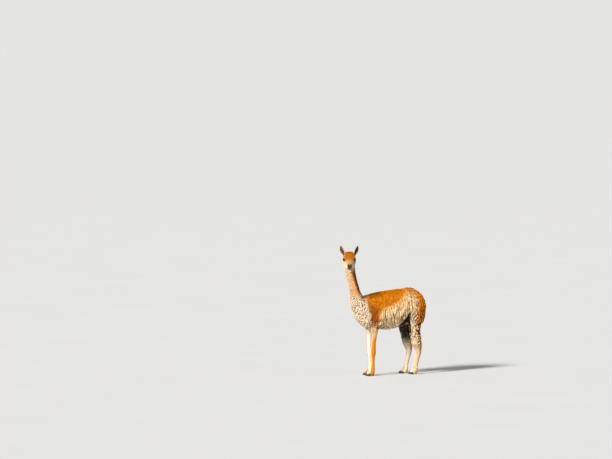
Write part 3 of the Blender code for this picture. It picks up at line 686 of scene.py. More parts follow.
def waves(points, scale, seed):
    """A soft random field from -1 to 1: the mean of sines along random ways, of about the given length."""
    draw = np.random.default_rng(seed)
    way = unit(draw.normal(size=(7, 3))) * draw.uniform(0.7, 1.5, (7, 1)) * 2 * math.pi / scale
    return np.clip(np.sin(points @ way.T + draw.uniform(0, 2 * math.pi, 7)).mean(1) * 1.8, -1, 1)


def inside_edge(flat, corners):
    """Distance of flat points from a closed outline, positive inside it."""
    a = np.array(corners, float)
    b = np.roll(a, -1, 0)
    run = b - a
    gap = flat[:, None] - a[None]
    t = np.clip((gap * run).sum(2) / (run * run).sum(1), 0, 1)
    reach = np.linalg.norm(gap - t[..., None] * run, axis=2).min(1)
    above = (a[:, 1] > flat[:, None, 1]) != (b[:, 1] > flat[:, None, 1])
    rise = np.where(np.abs(run[:, 1]) < 1e-9, 1e-9, run[:, 1])
    cross = flat[:, None, 0] < a[:, 0] + (flat[:, None, 1] - a[:, 1]) / rise * run[:, 0]
    return np.where((above & cross).sum(1) % 2 == 1, reach, -reach)


class Place:
    """What the coat's formulas read at each point: its place, where it faces, its share of each form."""

    def __init__(self, points, normals):
        side, ahead, up = points[:, 0], -points[:, 1], points[:, 2]
        self.points, self.normals = points, normals
        self.side, self.ahead, self.up = side, ahead, up
        self.local = head_local(points)
        self.folded = mirrored(self.local)
        self.outer = normals[:, 0] * np.sign(side)
        near = np.linalg.norm(self.local, axis=1) < HEAD_REACH
        self.head = smooth(-0.010, 0.040, self.local[:, 1]) * near * smooth(-0.122, -0.092, self.local[:, 2])
        self.fore_leg = (ahead > 0) * fall(0.41, 0.52, up)
        self.hind_leg = (ahead < -0.15) * fall(0.27, 0.40, up)
        thigh = smooth(0.236, 0.262, -ahead) * fall(0.62, 0.70, up)
        thigh = np.maximum(thigh, (ahead < -0.15) * fall(0.46, 0.56, up))
        self.shank = thigh * (1 - self.hind_leg)
        self.neck = smooth(0.80, 0.90, up) * (ahead > 0.24) * (1 - self.head)
        rear = np.where(up > 0.79, -0.462, -0.470)
        self.tail = (np.abs(side) < 0.05) * smooth(0.52, 0.53, up) * (ahead < rear)
        body = 1 - self.head
        for other in (self.neck, self.fore_leg, self.hind_leg, self.shank, self.tail):
            body = body * (1 - other)
        wiggle = 0.007 * waves(points, 0.070, 1) + 0.004 * waves(points, 0.026, 2)
        edge = inside_edge(np.column_stack([ahead, up]) + wiggle[:, None], SADDLE_EDGE)
        front = np.interp(up, FRONT_EDGE_HEIGHT, FRONT_EDGE_AHEAD)
        self.front = smooth(-0.006, 0.010, ahead - front + wiggle)
        self.saddle = smooth(-0.024, 0.022, edge) * (1 - self.front) * body
        self.chest = self.front * body
        behind = np.interp(up, BROWN_HEIGHT, BROWN_AHEAD) - ahead
        self.brown = smooth(-0.040, 0.048, behind + wiggle) * smooth(-0.75, -0.25, self.outer)
        self.speckled = smooth(-0.050, 0.000, behind) * fall(0.61, 0.70, up)
        self.before_fold = np.interp(up, FOLD_HEIGHT, FOLD_FRONT) - ahead
        back = ahead - np.interp(up, FOLD_HEIGHT, FOLD_BACK) + 0.045 * fall(0.2, 0.7, self.outer)
        back = back + 0.030 * smooth(0.35, 0.65, -normals[:, 2])
        inside = np.minimum(np.minimum(self.before_fold, back), FOLD_TOP - up) + 0.6 * wiggle
        self.fold = smooth(-0.012, 0.010, inside) * (up > 0.44) * (np.abs(side) > 0.02)
        self.rump = smooth(0.315, 0.375, -ahead) * body * (1 - self.saddle)
        self.flank = body * (1 - self.saddle) * (1 - self.front) * (1 - self.rump)
        self.hem = self.flank * smooth(-0.45, 0.0, self.outer) * fall(0.53, 0.60, up)


# Length, width, lift, wave, clump spacing, pull to the clump, turn of the lie, tuft spacing.
ZONES = {
    "saddle": (0.046, 0.0042, 0.0060, 0.0016, 0.018, 0.40, 0.08, 0.0044),
    "flank": (0.062, 0.0044, 0.0160, 0.0046, 0.023, 0.74, 0.08, 0.0046),
    "chest": (0.034, 0.0042, 0.0135, 0.0046, 0.020, 0.76, 0.80, 0.0045),
    "rump": (0.032, 0.0042, 0.0110, 0.0040, 0.022, 0.70, 0.60, 0.0045),
    "shank": (0.028, 0.0040, 0.0105, 0.0036, 0.022, 0.70, 0.50, 0.0043),
    "neck": (0.024, 0.0036, 0.0042, 0.0010, 0.016, 0.28, 0.10, 0.0037),
    "head": (0.013, 0.0030, 0.0022, 0.0004, 0.010, 0.25, 0.10, 0.0027),
    "fore_leg": (0.014, 0.0036, 0.0014, 0.0003, 0.012, 0.20, 0.06, 0.0036),
    "hind_leg": (0.015, 0.0038, 0.0016, 0.0003, 0.012, 0.20, 0.06, 0.0036),
    "tail": (0.070, 0.0062, 0.0110, 0.0040, 0.024, 0.60, 0.20, 0.0042),
}
STEPS = {"head": 2, "fore_leg": 2, "hind_leg": 2, "neck": 3}
LONG_STEPS = 4
LIMB_LIE = (0, 0.05, -1.0)
FAN_FROM = (0, 0.30, -0.015)


def zone_values(place):
    """The coat's measures at each point: those of the zones, weighed by its share of each."""
    share = np.stack([getattr(place, name) for name in ZONES], 1) + 1e-9
    share /= share.sum(1, keepdims=True)
    values = share @ np.array(list(ZONES.values()))
    crown = place.head * bell(egg_distance(place.folded, *CROWN), 1)
    crown = crown * (0.40 + 0.60 * smooth(0.008, 0.036, place.folded[:, 0]))
    cheek = place.head * bell(egg_distance(place.folded, *CHEEK), 1)
    muzzle = place.head * smooth(0.130, 0.200, place.local[:, 1])
    values[:, 0] += 0.014 * crown + 0.009 * cheek - 0.0065 * muzzle
    values[:, 1] += 0.0012 * crown - 0.0008 * muzzle
    values[:, 2] += 0.0120 * crown + 0.0016 * cheek - 0.0012 * muzzle
    values[:, 0] -= 0.022 * fall(-0.75, -0.35, place.normals[:, 2]) * place.flank
    near_fold = smooth(-0.060, 0.010, place.before_fold) * place.flank * fall(0.66, 0.74, place.up)
    values[:, 0] *= 1 - 0.72 * np.maximum(near_fold, place.fold)
    values[:, 2] *= 1 - 0.55 * place.fold
    fringe = fall(0.50, 0.60, place.up) * smooth(0.00, 0.06, place.ahead) * (place.head < 0.5)
    values[:, 0] *= 1 - 0.60 * fringe
    values[:, 2] *= 1 - 0.50 * fringe
    values[:, 2] -= 0.001 * place.neck * smooth(0.80, 0.95, place.up)
    return share.argmax(1), values


def lie_of(place):
    """The way the coat lies along the skin: back and down the body, down the limbs, from the nose back."""
    count = len(place.points)
    top = smooth(0.70, 0.95, place.normals[:, 2]) * (place.ahead < 0.30)
    sign = np.sign(place.side) * smooth(0.0, 0.03, np.abs(place.side))
    back = np.stack([0.45 * sign, np.ones(count), np.zeros(count)], 1)
    down = np.stack([np.zeros(count), 0.14 + 0.16 * place.saddle, -np.ones(count)], 1)
    lie = over(down, back, top)
    limbs = np.max([place.fore_leg, place.hind_leg, place.shank, place.neck, place.tail], 0)
    lie = over(lie, LIMB_LIE, limbs)
    fan = (place.folded - FAN_FROM) * (0.6, 1, 0.6)
    fan[:, 0] *= np.sign(place.local[:, 0])
    lie = over(lie, unit(fan) @ HEAD[:3, :3].T, place.head)
    return unit(lie - place.normals * (lie * place.normals).sum(1)[:, None])


def over(base, other, share):
    """Rows carried over to other ones by a share at each point."""
    return base + (other - base) * share[:, None]


def painted(base, *coats):
    """Named colours laid over a named colour or an array, each by its share at each point."""
    colour = linear(base) if isinstance(base, str) else base
    for name, share in coats:
        colour = over(colour, linear(name), np.clip(share, 0, 1))
    return colour


def coat_colour(place):
    """The markings, in linear light, the same for skin and coat."""
    side, ahead, up, outer, saddle = place.side, place.ahead, place.up, place.outer, place.saddle
    facing_back, facing_up = place.normals[:, 1], place.normals[:, 2]
    fine = waves(place.points, 0.014, 6)
    streaks = waves(place.points * (1, 1, 0.45), 0.024, 11)
    border = 4 * saddle * (1 - saddle) * smooth(0.60, 0.70, up) * (1 - place.front)
    # tips: a lighter band low on the flank, painted highlight on the hanging lock tips.
    lit_tips = bell(up - 0.565, 0.040) * smooth(-0.2, 0.3, outer) * place.flank
    low = saddle * np.maximum(fall(0.56, 0.68, up), smooth(0.13, 0.20, ahead))
    elbow = smooth(0.09, 0.14, ahead) * fall(0.535, 0.60, up) * (1 - place.front)
    # seam: dark streaks behind the elbow, painted shade.
    elbow_shade = bell(ahead - 0.118, 0.034) * smooth(0.49, 0.53, up) * fall(0.62, 0.70, up)
    spine = bell(side, 0.105 + 0.008 * fine) * smooth(0.80, 0.86, up) * (ahead < -0.1)
    # ridge: painted shadow of the neck, cast back along the top of the withers.
    ridge = bell(side, 0.055) * smooth(0.80, 0.83, up) * smooth(0.05, 0.14, ahead) * fall(0.30, 0.34, ahead)
    # nape: the neck's base turning up and back takes the saddle's low brown, the back's own colour darkened
    # as painted shade.
    nape = smooth(0.15, 0.60, 0.7 * facing_up + 0.7 * facing_back) * smooth(0.76, 0.84, up)
    body = painted(
        "flank",
        ("hip", smooth(0.74, 0.86, up) * smooth(0.05, 0.22, -ahead)),
        # Faces turned down take the underside's colour, darker as painted shade.
        ("shaded_belly", fall(-0.80, -0.40, facing_up)),
        ("saddle", saddle),
        ("dun", 0.6 * border),
        ("hip", 0.7 * lit_tips),
        ("saddle_low", low * fall(0.68, 0.82, up)),
        ("flank", 0.8 * elbow * smooth(-0.35, 0.25, streaks)),
        ("curl", 0.75 * elbow_shade * smooth(-0.10, 0.40, streaks)),
        ("saddle", spine * (1 - saddle) * (1 - place.neck)),
        ("withers_shadow", 0.8 * ridge * saddle),
        # The fold between belly and thigh, painted dark as painted shade in the crease.
        ("fold", 0.96 * place.fold),
        ("rump", place.brown),
        ("bib", place.chest),
        ("saddle_low", 0.9 * nape * place.chest),
    )
    # tawny: the neck's back faces, spread towards the front just below the head as the head's painted shadow
    # under the chin.
    tawny = facing_back + 0.30 * smooth(1.04, 1.17, up) + 0.10 * waves(place.points, 0.03, 12)
    neck = painted(
        "neck_front",
        ("cheek", 0.45 * fall(-0.95, -0.70, facing_back - 0.16 * smooth(0.96, 1.10, up))),
        ("neck_low", 0.85 * fall(0.86, 0.98, up)),
        ("neck_back", smooth(-0.42, 0.18, tawny)),
        # The withers' painted shadow carried up the rear of the lower neck.
        ("withers_shadow", 0.65 * smooth(0.30, 0.80, facing_back) * fall(0.98, 1.12, up)),
    )
    armpit = fall(-0.25, 0.35, outer) * fall(0.50, 0.57, up) * smooth(0.02, 0.08, ahead)
    colour = painted(over(body, neck, np.maximum(place.neck, place.head)), ("leg_white", armpit))
    colour = head_colour(place, leg_colour(place, colour))
    return over(colour, painted("rump", ("flank", smooth(0.2, 0.8, -facing_back))), place.tail)


def leg_colour(place, colour):
    """Tan outside, paler above, and white inside; the thigh is cream with a brown edge behind."""
    edge = 0.12 * waves(place.points, 0.020, 9)
    track = np.where(place.ahead > 0, FORE_TRACK, HIND_TRACK)
    out = np.clip((np.abs(place.side) - track) / 0.030, -1, 1)
    out = place.outer + (out - place.outer) * fall(0.085, 0.125, place.up) + edge
    outer = smooth(-0.30, 0.30, out)
    behind = smooth(-0.20, 0.40, place.normals[:, 1] + edge)
    # bare: the inner thighs, more on the right legs, take the fold's dark colour: bare skin, darkened as the
    # belly's painted shadow.
    bare = fall(-0.40, 0.15, place.outer - 0.25 * (place.side < 0)) * smooth(0.34, 0.40, place.up)
    tan = painted("leg_tan", ("leg_pale", smooth(0.35, 0.48, place.up)))
    thigh = painted(
        "leg_white",
        ("hip", outer * 0.75),
        ("fold", np.maximum(0.90 * bare, 0.95 * place.fold)),
        ("rump", place.brown * (1 - bare)),
    )
    hind = painted(
        "leg_white",
        ("hip", 0.9 * smooth(-0.55, 0.05, out)),
        ("leg_tan", np.maximum(0.95 * behind, 0.12 * outer)),
    )
    colour = over(colour, over(linear("leg_white"), tan, outer), place.fore_leg)
    colour = over(colour, thigh, place.shank)
    return over(colour, hind, place.hind_leg)


def head_colour(place, colour):
    """Orange brow, tan bridge, cream cheeks and throat, dark nose and lips, a dark line round the eye."""
    along, folded = place.local[:, 1], place.folded
    rows = np.array(HEAD_ROWS)
    upper, lower = np.interp(along, rows[:, 0], rows[:, 1]), np.interp(along, rows[:, 2], rows[:, 3])
    fine = 0.10 * waves(place.points, 0.012, 8)
    level = (2 * place.local[:, 2] - upper - lower) / (upper - lower) + fine
    gap, turn = mouth_line(place.local)
    snout = smooth(0.175, 0.205, along)
    lip = bell(gap, 0.0048 + 0.0040 * fall(20, 60, turn)) * fall(80, 120, turn)
    rim = bell(np.maximum(eye_reach(folded) - 1.16, 0), 0.32) * (folded[:, 0] > 0.03)
    head = painted(
        "cheek",
        ("bridge", smooth(0.40, 0.80, level) * smooth(0.070, 0.110, along)),
        ("neck_front", 0.85 * smooth(-0.75, -0.20, level) * fall(0.050, 0.115, along)),
        ("brow", smooth(0.10, 0.45, level) * fall(0.138, 0.164, along + 0.1 * fine)),
        *((name, share * bell(egg_distance(folded, *egg), width)) for name, egg, width, share in FACE_MARKS),
        ("leg_white", 0.8 * smooth(0.150, 0.185, along) * fall(-0.85, -0.55, level)),
        ("lid", rim * 0.85),
        ("nose", 0.95 * fall(0.70, 1.00, egg_distance(folded, *NOSE_PAD) + fine) * snout),
        ("nostril", 0.75 * bell(egg_distance(folded, *NOSE_TOP), 0.9) * snout),
        ("nostril", bell(nostril_distance(folded), 0.0070) * snout),
        ("lip", lip * snout),
    )
    return over(colour, head, place.head * smooth(-0.010, 0.070, along))


# Tufts

ROOT_DEPTH = 0.0025

# The lattice that knows the skin's way and distance: size of a cell, and how many cells out it is filled.
FIELD_CELL = 0.007
FIELD_SPREAD = 7

# Random places tried on the skin, and the space between tufts as a share of the zone's own.
SAMPLES = 900000
TUFT_SPACING = 1.22 * 1

# Hair keeps clear of the eye by this share of its rim, on the head beyond this place, and of the ground.
EYE_CLEAR = 1.35
EYE_FROM = 0.06
HAIR_FROM = 0.02

# Waves along a tuft, how far strands draw together, and how much less heights count where clumps gather.
CURLS = 1.4
STRAND_PULL = 0.75
CLUMP_SQUEEZE = {"flank": 0.40, "saddle": 0.28, "neck": 0.5}

# Darkest and lightest clump of a zone, then of any other.
CLUMP_TONE = {"saddle": (0.92, 1.06), "flank": (0.72, 1.14), "chest": (0.90, 1.07), "rump": (0.84, 1.10),
              "shank": (0.84, 1.16), "tail": (0.80, 1.10)}
PLAIN_TONE = (0.94, 1.05)

# Share of the clumps that are dark on the speckled thigh, and of those on the flank's hem made darker as
# painted shade between its locks.
FLECKED = 0.24
HEM_FLECKED = 0.22

# Powers of the shade on red, green and blue: what is darker is warmer too.
SHADE_WARMTH = (0.80, 1.0, 1.22)

# A blade's width, from root to tip: places along it and shares.
BLADE = ((0.0, 0.30, 0.65, 1.0), (0.60, 1.0, 0.72, 0.12))

# Points sorted at a time, most triangles in a piece, and the size of a tuft's patch on the sheet.
CHUNK = 4000
PIECE_TRIANGLES = 180000
PATCH = 0.003


class Field:
    """The skin's normal and distance on a lattice: each cell reads the mean of the skin nearest it."""

    def __init__(self, points, normals):
        margin = FIELD_CELL * (FIELD_SPREAD + 2)
        self.low = points.min(0) - margin
        size = ((points.max(0) + margin - self.low) / FIELD_CELL).astype(int) + 1
        cell = ((points - self.low) / FIELD_CELL).astype(int)
        flat = np.ravel_multi_index(cell.T, size)
        sums = [np.ones(len(points)), *points.T, *normals.T]
        total = np.stack([np.bincount(flat, one, size.prod()) for one in sums], 1)
        total = total.reshape(*size, 7).astype(np.float32)
        for _ in range(FIELD_SPREAD):
            empty = total[..., 0] == 0
            spread = sum(np.roll(total, step, axis) for axis in range(3) for step in (1, -1))
            total[empty] = spread[empty]
            total /= np.maximum(total[..., :1], 1)
        centre = np.stack(np.meshgrid(*(np.arange(n) + 0.5 for n in size), indexing="ij"), -1)
        centre = (centre * FIELD_CELL + self.low).astype(np.float32)
        normal = unit(total[..., 4:7])
        gap = ((centre - total[..., 1:4]) * normal).sum(-1, keepdims=True)
        self.values = np.concatenate([normal, gap], -1)

    def read(self, points):
        """Normal and height over the skin, weighed between the eight cells round each point."""
        where = (points - self.low) / FIELD_CELL - 0.5
        where = np.clip(where, 0, np.array(self.values.shape[:3]) - 1.001)
        base = where.astype(int)
        part = where - base
        total = 0
        for corner in np.ndindex(2, 2, 2):
            weight = np.prod(np.where(corner, part, 1 - part), 1)
            total = total + self.values[tuple((base + corner).T)] * weight[:, None]
        return unit(total[:, :3]), total[:, 3]


def scattered(points, faces, normals, count, draw):
    """Random places on triangles, even by area: u is the root of a random number, and v is another one."""
    corners = points[faces][..., :3]
    area = np.linalg.norm(np.cross(corners[:, 1] - corners[:, 0], corners[:, 2] - corners[:, 0]), axis=1)
    pick = np.searchsorted(np.cumsum(area), draw.random(count) * area.sum() * 0.999999)
    u, v = np.sqrt(draw.random(count))[:, None], draw.random(count)[:, None]

    def read(values):
        a, b, c = (values[faces[pick, k]] for k in range(3))
        return a + u * (b - a) + u * v * (c - b)

    return read(points), unit(read(normals))


def thinned(points, cell):
    """The first point in each cell of a tilted lattice."""
    tilt = np.array(Matrix.Rotation(0.7, 3, Vector((1, 2, 0.5))))
    key = np.floor(points @ tilt / cell).astype(np.int64)
    key -= key.min(0)
    span = key.max(0) + 1
    _, first = np.unique((key[:, 0] * span[1] + key[:, 1]) * span[2] + key[:, 2], return_index=True)
    return np.sort(first)


def nearest(points, centres):
    """The index of the nearest centre to each point, and its distance."""
    index, gap = np.empty(len(points), int), np.empty(len(points))
    size = (centres**2).sum(1)
    for start in range(0, len(points), CHUNK):
        some = points[start : start + CHUNK]
        square = size - 2 * some @ centres.T
        best = square.argmin(1)
        index[start : start + CHUNK] = best
        gap[start : start + CHUNK] = square[np.arange(len(some)), best] + (some**2).sum(1)
    return index, np.sqrt(np.maximum(gap, 0))


def turned(vectors, axes, angle):
    """Each vector turned about a unit axis at right angles to it."""
    return vectors * np.cos(angle)[:, None] + np.cross(axes, vectors) * np.sin(angle)[:, None]


def combed(field, roots, normals, lie, reach, lift, steps):
    """Centre lines from below the skin along its lie: a step on, then to the height lift sin(1.9 t)."""
    offset = field.read(roots)[1]
    path, faced = [roots - normals * ROOT_DEPTH], [normals]
    point, way = roots, lie
    for step in range(1, steps + 1):
        t = step / steps
        point = point + way * (reach / steps)[:, None]
        normal, gap = field.read(point)
        point = point + normal * (lift * math.sin(1.9 * t) - gap + offset * (1 - t))[:, None]
        way = unit(way - normal * (way * normal).sum(1)[:, None])
        path.append(point)
        faced.append(normal)
    return np.stack(path, 1), np.stack(faced, 1)


def blades(paths, normals, half, thick):
    """Closed tapered blades of three sides along centre lines: two edges and a ridge, drawn to one point."""
    count, rings = paths.shape[:2]
    t = np.linspace(0, 1, rings)
    along = unit(np.gradient(paths, axis=1))
    side = unit(np.cross(normals, along))
    up = np.cross(along, side)
    shape = np.interp(t, *BLADE)[None, :, None]
    wide, high = side * half[:, None, None] * shape, up * thick[:, None, None] * shape
    body = np.stack([paths + wide - 0.3 * high, paths - wide - 0.3 * high, paths + high], 2)[:, :-1]
    points = np.concatenate([body.reshape(count, -1, 3), paths[:, -1:]], 1)
    size = points.shape[1]
    faces = [(0, 1, 2)]
    for ring in range(rings - 2):
        for k in range(3):
            a, b = 3 * ring + k, 3 * ring + (k + 1) % 3
            faces += [(a, a + 3, b), (b, a + 3, b + 3)]
    for k in range(3):
        faces.append((size - 4 + k, size - 1, size - 4 + (k + 1) % 3))
    tris = (np.arange(count)[:, None, None] * size + np.array(faces)).reshape(-1, 3)
    share = np.append(np.repeat(t[:-1], 3), 1)
    across = np.append(np.tile((-1, 1, 0), rings - 1), 0)
    points, tris = outward(points.reshape(-1, 3), tris)
    return points, tris, np.tile(share, count), np.tile(across, count), size


ISLANDS = {
    "trunk": (0.005, 0.005, 0.99, 0.42),
    "neck": (0.005, 0.43, 0.49, 0.23),
    "head": (0.505, 0.43, 0.49, 0.23),
    "fore_left": (0.005, 0.67, 0.235, 0.23),
    "fore_right": (0.255, 0.67, 0.235, 0.23),
    "hind_left": (0.505, 0.67, 0.235, 0.23),
    "hind_right": (0.755, 0.67, 0.235, 0.23),
    "tail": (0.005, 0.91, 0.235, 0.08),
}


def unwrapped(place):
    """Each place on a flat sheet, by islands: the turn round its limb across, the way along the limb up."""
    side, ahead, up = place.side, place.ahead, place.up
    neck_line = np.interp(up, (0.8, 1.2), (0.36, 0.44))
    lines = [
        ("trunk", np.ones(len(up), bool), side, up - 0.69, (ahead + 0.52) / 0.96),
        ("neck", place.neck > 0.5, side, neck_line - ahead, (up - 0.78) / 0.50),
        ("head", place.head > 0.5, place.local[:, 0], place.local[:, 2], (place.local[:, 1] + 0.05) / 0.30),
        ("tail", place.tail > 0.5, side, ahead + 0.485, (up - 0.50) / 0.34),
    ]
    for word, sign in SIDES:
        fore = (place.fore_leg > 0.5) & (side * sign > 0)
        hind = (place.hind_leg + place.shank > 0.5) & (side * sign > 0)
        lines.append((f"fore_{word}", fore, side - sign * FORE_TRACK, ahead - 0.165, up / 0.50))
        lines.append((f"hind_{word}", hind, side - sign * HIND_TRACK, ahead + 0.350, up / 0.56))
    flat = np.zeros((len(up), 2))
    for name, mine, x, y, along in lines:
        left, low, wide, high = ISLANDS[name]
        turn = np.arctan2(x, y) / (2 * math.pi) + 0.5
        sheet = np.stack([left + wide * turn, low + high * np.clip(along, 0, 1)], 1)
        flat[mine] = sheet[mine]
    return flat


def bake_map(obj, faces, flat):
    """Puts one place on the sheet for each point into the map that baking reads."""
    layer = obj.data.uv_layers.new(name="OFBake")
    layer.data.foreach_set("uv", flat[faces.ravel()].astype(np.float32).ravel())


def coat_piece(name, paths, normals, half, thick, colour, shade, flat):
    """One mesh of blades with its colour, darkened towards the root as painted shade, and its patches on the
    sheet.
    """
    points, faces, share, across, size = blades(paths, normals, half, thick)
    obj = mesh_object(name, points, faces)
    # The colour darkens towards the root and warms as it darkens: painted shade deep in the coat.
    depth = 0.45 + 0.55 * smooth(0.0, 0.45, share) + 0.08 * smooth(0.6, 1.0, share)
    depth = (np.repeat(shade, size) * depth)[:, None]
    colour_attribute(obj, np.repeat(colour, size, 0) * depth ** np.array(SHADE_WARMTH))
    bake_map(obj, faces, np.repeat(flat, size, 0) + np.stack([across, share - 0.5], 1) * (PATCH / 2, PATCH))
    return obj


def coat_pieces(skin_points, skin_faces):
    """Roots spread over the skin by zone, gathered into clumps, combed along it and made into blades."""
    draw = np.random.default_rng(SEED)
    normals = vertex_normals(skin_points, skin_faces)
    points, normals = scattered(skin_points, skin_faces, normals, SAMPLES, draw)
    field = Field(points, normals)
    local = head_local(points)
    keep = (eye_reach(mirrored(local)) > EYE_CLEAR) | (local[:, 1] < EYE_FROM)
    keep &= points[:, 2] > HAIR_FROM
    place = Place(points[keep], normals[keep])
    zone, values = zone_values(place)
    zone[place.head * smooth(0.30, 0.60, bare_share(place)) > 0.5] = -1
    made = []
    for index, (name, measures) in enumerate(ZONES.items()):
        mine = np.flatnonzero(zone == index)
        mine = mine[thinned(place.points[mine], measures[7] * TUFT_SPACING)]
        made += zone_pieces(name, field, place.points[mine], place.normals[mine], values[mine], draw)
    return made


def pulled(paths, others, lie, share, along):
    """Lines drawn by a share towards others, with the gap along their lie weighed by along."""
    gap = others - paths
    run = (gap * lie[:, None]).sum(2, keepdims=True)
    return paths + (gap - (1 - along) * run * lie[:, None]) * share


def zone_pieces(name, field, roots, normals, values, draw):
    """The tufts of one zone, by side, in meshes of at most the set number of triangles."""
    count, spacing = len(roots), ZONES[name][4]
    length, width, lift, wave, clump, pull, turn, _ = values.T
    steps = STEPS.get(name, LONG_STEPS)
    squeeze = np.array((1, 1, CLUMP_SQUEEZE.get(name, 1.0)))
    heads = thinned(roots * squeeze, spacing * 1.1)
    group, reach = nearest(roots * squeeze, roots[heads] * squeeze)

    def by_clump(low, high):
        return draw.uniform(low, high, len(heads))[group]

    def by_tuft(low, high):
        return draw.uniform(low, high, count)

    place = Place(roots, normals)
    lie = turned(lie_of(place), normals, turn * (by_clump(-1, 1) + 0.30 * by_tuft(-1, 1)))
    middle = np.clip(1 - (reach / (0.70 * clump)) ** 2, 0, 1)
    grow = length * by_tuft(0.70, 1.15) * (0.85 + 0.15 * middle)
    rise = lift * (0.50 + 0.60 * middle) * by_tuft(0.7, 1.2)
    paths, faced = combed(field, roots, normals, lie, grow, rise, steps)
    t = np.linspace(0, 1, steps + 1)[None, :, None]
    strands = thinned(roots, 0.30 * spacing)
    strand, _ = nearest(roots, roots[strands])
    share = (STRAND_PULL * by_tuft(0.5, 1.0))[:, None, None] * t
    paths = pulled(paths, paths[strands][strand], lie, share, squeeze[2])
    share = (pull * by_tuft(0.55, 1.05))[:, None, None] * t**1.2
    paths = pulled(paths, paths[heads][group], lie, share, squeeze[2])
    side = np.cross(faced, unit(np.gradient(paths, axis=1)))
    phase = (by_clump(0, 6.28) + draw.uniform(-0.6, 0.6, len(strands))[strand])[:, None, None]
    curl = np.sin(2 * math.pi * CURLS * t + phase) * np.minimum(2 * t, 1)
    paths = paths + side * wave[:, None, None] * curl

    woolly = np.clip((pull - 0.30) / 0.40, 0, 1)
    low, high = CLUMP_TONE.get(name, PLAIN_TONE)
    # Clumps darken towards their edges as painted shade between the locks, less high on the flank and more on
    # its hem.
    broken = 1 - 0.70 * place.flank * smooth(0.60, 0.80, place.up) + 0.35 * place.hem
    tone = (low + high) / 2 + (high - low) * broken * by_clump(-0.5, 0.5)
    tone *= by_tuft(0.90, 1.08)
    tone *= 1 - (0.05 + 0.40 * woolly * broken) * smooth(0.72, 1.15, reach / (0.62 * clump))
    seen = roots + (roots[heads][group] - roots) * 0.3 * pull[:, None]
    seen = seen + draw.normal(0, 1, seen.shape) * (0.001 + 0.008 * woolly)[:, None]
    chosen = by_clump(0, 1)
    speckled = place.speckled * (name != "flank")
    # corner: on the speckled thigh the curl colour also fills the clumps' edges, painted shade between the
    # curls.
    corner = smooth(0.58, 0.90, reach / (0.62 * clump))
    fleck = 0.97 * speckled * np.maximum(corner, chosen < FLECKED)
    # Some clumps on the flank's hem take the curl colour, painted shade between its locks.
    fleck = np.maximum(fleck, 0.60 * place.hem * (chosen < HEM_FLECKED))
    colour = painted(coat_colour(Place(seen, normals)), ("curl", woolly * fleck))
    # The other clumps come out lighter: a little on the speckled thigh, and much on the hem as painted
    # highlight on the lock tips.
    tone *= 1 + woolly * (chosen > HEM_FLECKED) * np.maximum(0.22 * speckled, 0.62 * place.hem)

    flat = unwrapped(place)
    half = width * by_tuft(0.38, 0.62)
    pieces = []
    for word, sign in SIDES:
        order = np.flatnonzero((roots[:, 0] >= 0) == (sign > 0))
        order = order[np.argsort(roots[order, 1], kind="stable")]
        parts = max(1, math.ceil(len(order) * (6 * steps - 2) / PIECE_TRIANGLES))
        for number, some in enumerate(np.array_split(order, parts)):
            label = f"coat_{name}_{word}" + (f"_{number + 1}" if parts > 1 else "")
            rows = [row[some] for row in (paths, faced, half, 0.40 * half, colour, tone, flat)]
            pieces.append(coat_piece(label, *rows))
    return pieces


def bare_share(place):
    """1 on the leather of nose and lips, where no hair grows."""
    gap, turn = mouth_line(place.local)
    pad = fall(0.7, 1.0, egg_distance(place.folded, *BARE_PAD))
    nose = np.maximum(bell(nostril_distance(place.folded), 0.0075), pad)
    lip = bell(gap, 0.0030) * fall(70, 100, turn)
    return np.maximum(nose, lip) * smooth(0.205, 0.220, place.local[:, 1])


# Ears, eyes, nails

# The ear's levels and shares of its half width, room for fur, bend, and points on half a ring.
EAR_OUTLINE = ((-0.1, 0.05, 0.34, 0.6, 0.86, 0.96), (0.62, 0.72, 1.0, 0.92, 0.48, 0.20))
EAR_FUR = 0.0012
EAR_BEND = 0.010
EAR_ARC = 25

# Random places tried on an ear, and the space between its tufts.
EAR_SAMPLES = 60000
EAR_TUFT_SPACING = 0.0028

# The eye's bulge as a share of its radius, the pupil's half sizes, the lid's half thickness, the lashes.
EYE_BULGE = 0.05
PUPIL = (0.0078, 0.0034)
LID_THICK = 0.0019
LASH_LENGTH = (0.007, 0.011)


def ear_matrix(side):
    """The ear's root on the head, tilted back, splayed and turned."""
    place = Matrix.Translation((side * EAR_PLACE[0], EAR_PLACE[1], EAR_PLACE[2]))
    lean = Matrix.Rotation(EAR_BACK_TILT, 4, "X") @ Matrix.Rotation(side * EAR_SPLAY, 4, "Y")
    return head_matrix() @ place @ lean @ Matrix.Rotation(-side * EAR_TURN, 4, "Z")


def ear_rings(side):
    """Crescents up the ear: a half oval behind, a hollow one before it, bent in by the height squared."""
    level = np.linspace(-0.10, 0.985, 44)[:, None]
    wide = np.interp(level, *EAR_OUTLINE) * np.sqrt(np.clip((1 - level) / 0.06, 0.05, 1))
    cup = np.clip((level - 0.06) / 0.16, 0, 1)
    half = wide * EAR_WIDTH - EAR_FUR
    depth = EAR_DEPTH * (0.35 + 0.65 * wide)
    wall = EAR_WALL * (0.35 + 0.45 * wide)
    back = np.linspace(0, math.pi, EAR_ARC)[None]
    front = np.linspace(math.pi, 2 * math.pi, EAR_ARC)[None, 1:-1]
    behind = np.stack([half * np.cos(back), -depth * np.sin(back)], -1)
    arch = np.abs(np.sin(front))
    sunk = -(depth - wall) * arch * cup + depth * 0.6 * arch * (1 - cup)
    before = np.stack([half * 0.90 * np.cos(front), sunk + wall * 0.4 * cup], -1)
    ring = np.concatenate([behind, before], 1)
    height = np.broadcast_to(level * EAR_LENGTH, ring.shape[:2])
    bent = ring[..., 0] - side * EAR_BEND * level**2
    return np.stack([bent, ring[..., 1] + depth * 0.5, height], -1), level[:, 0]


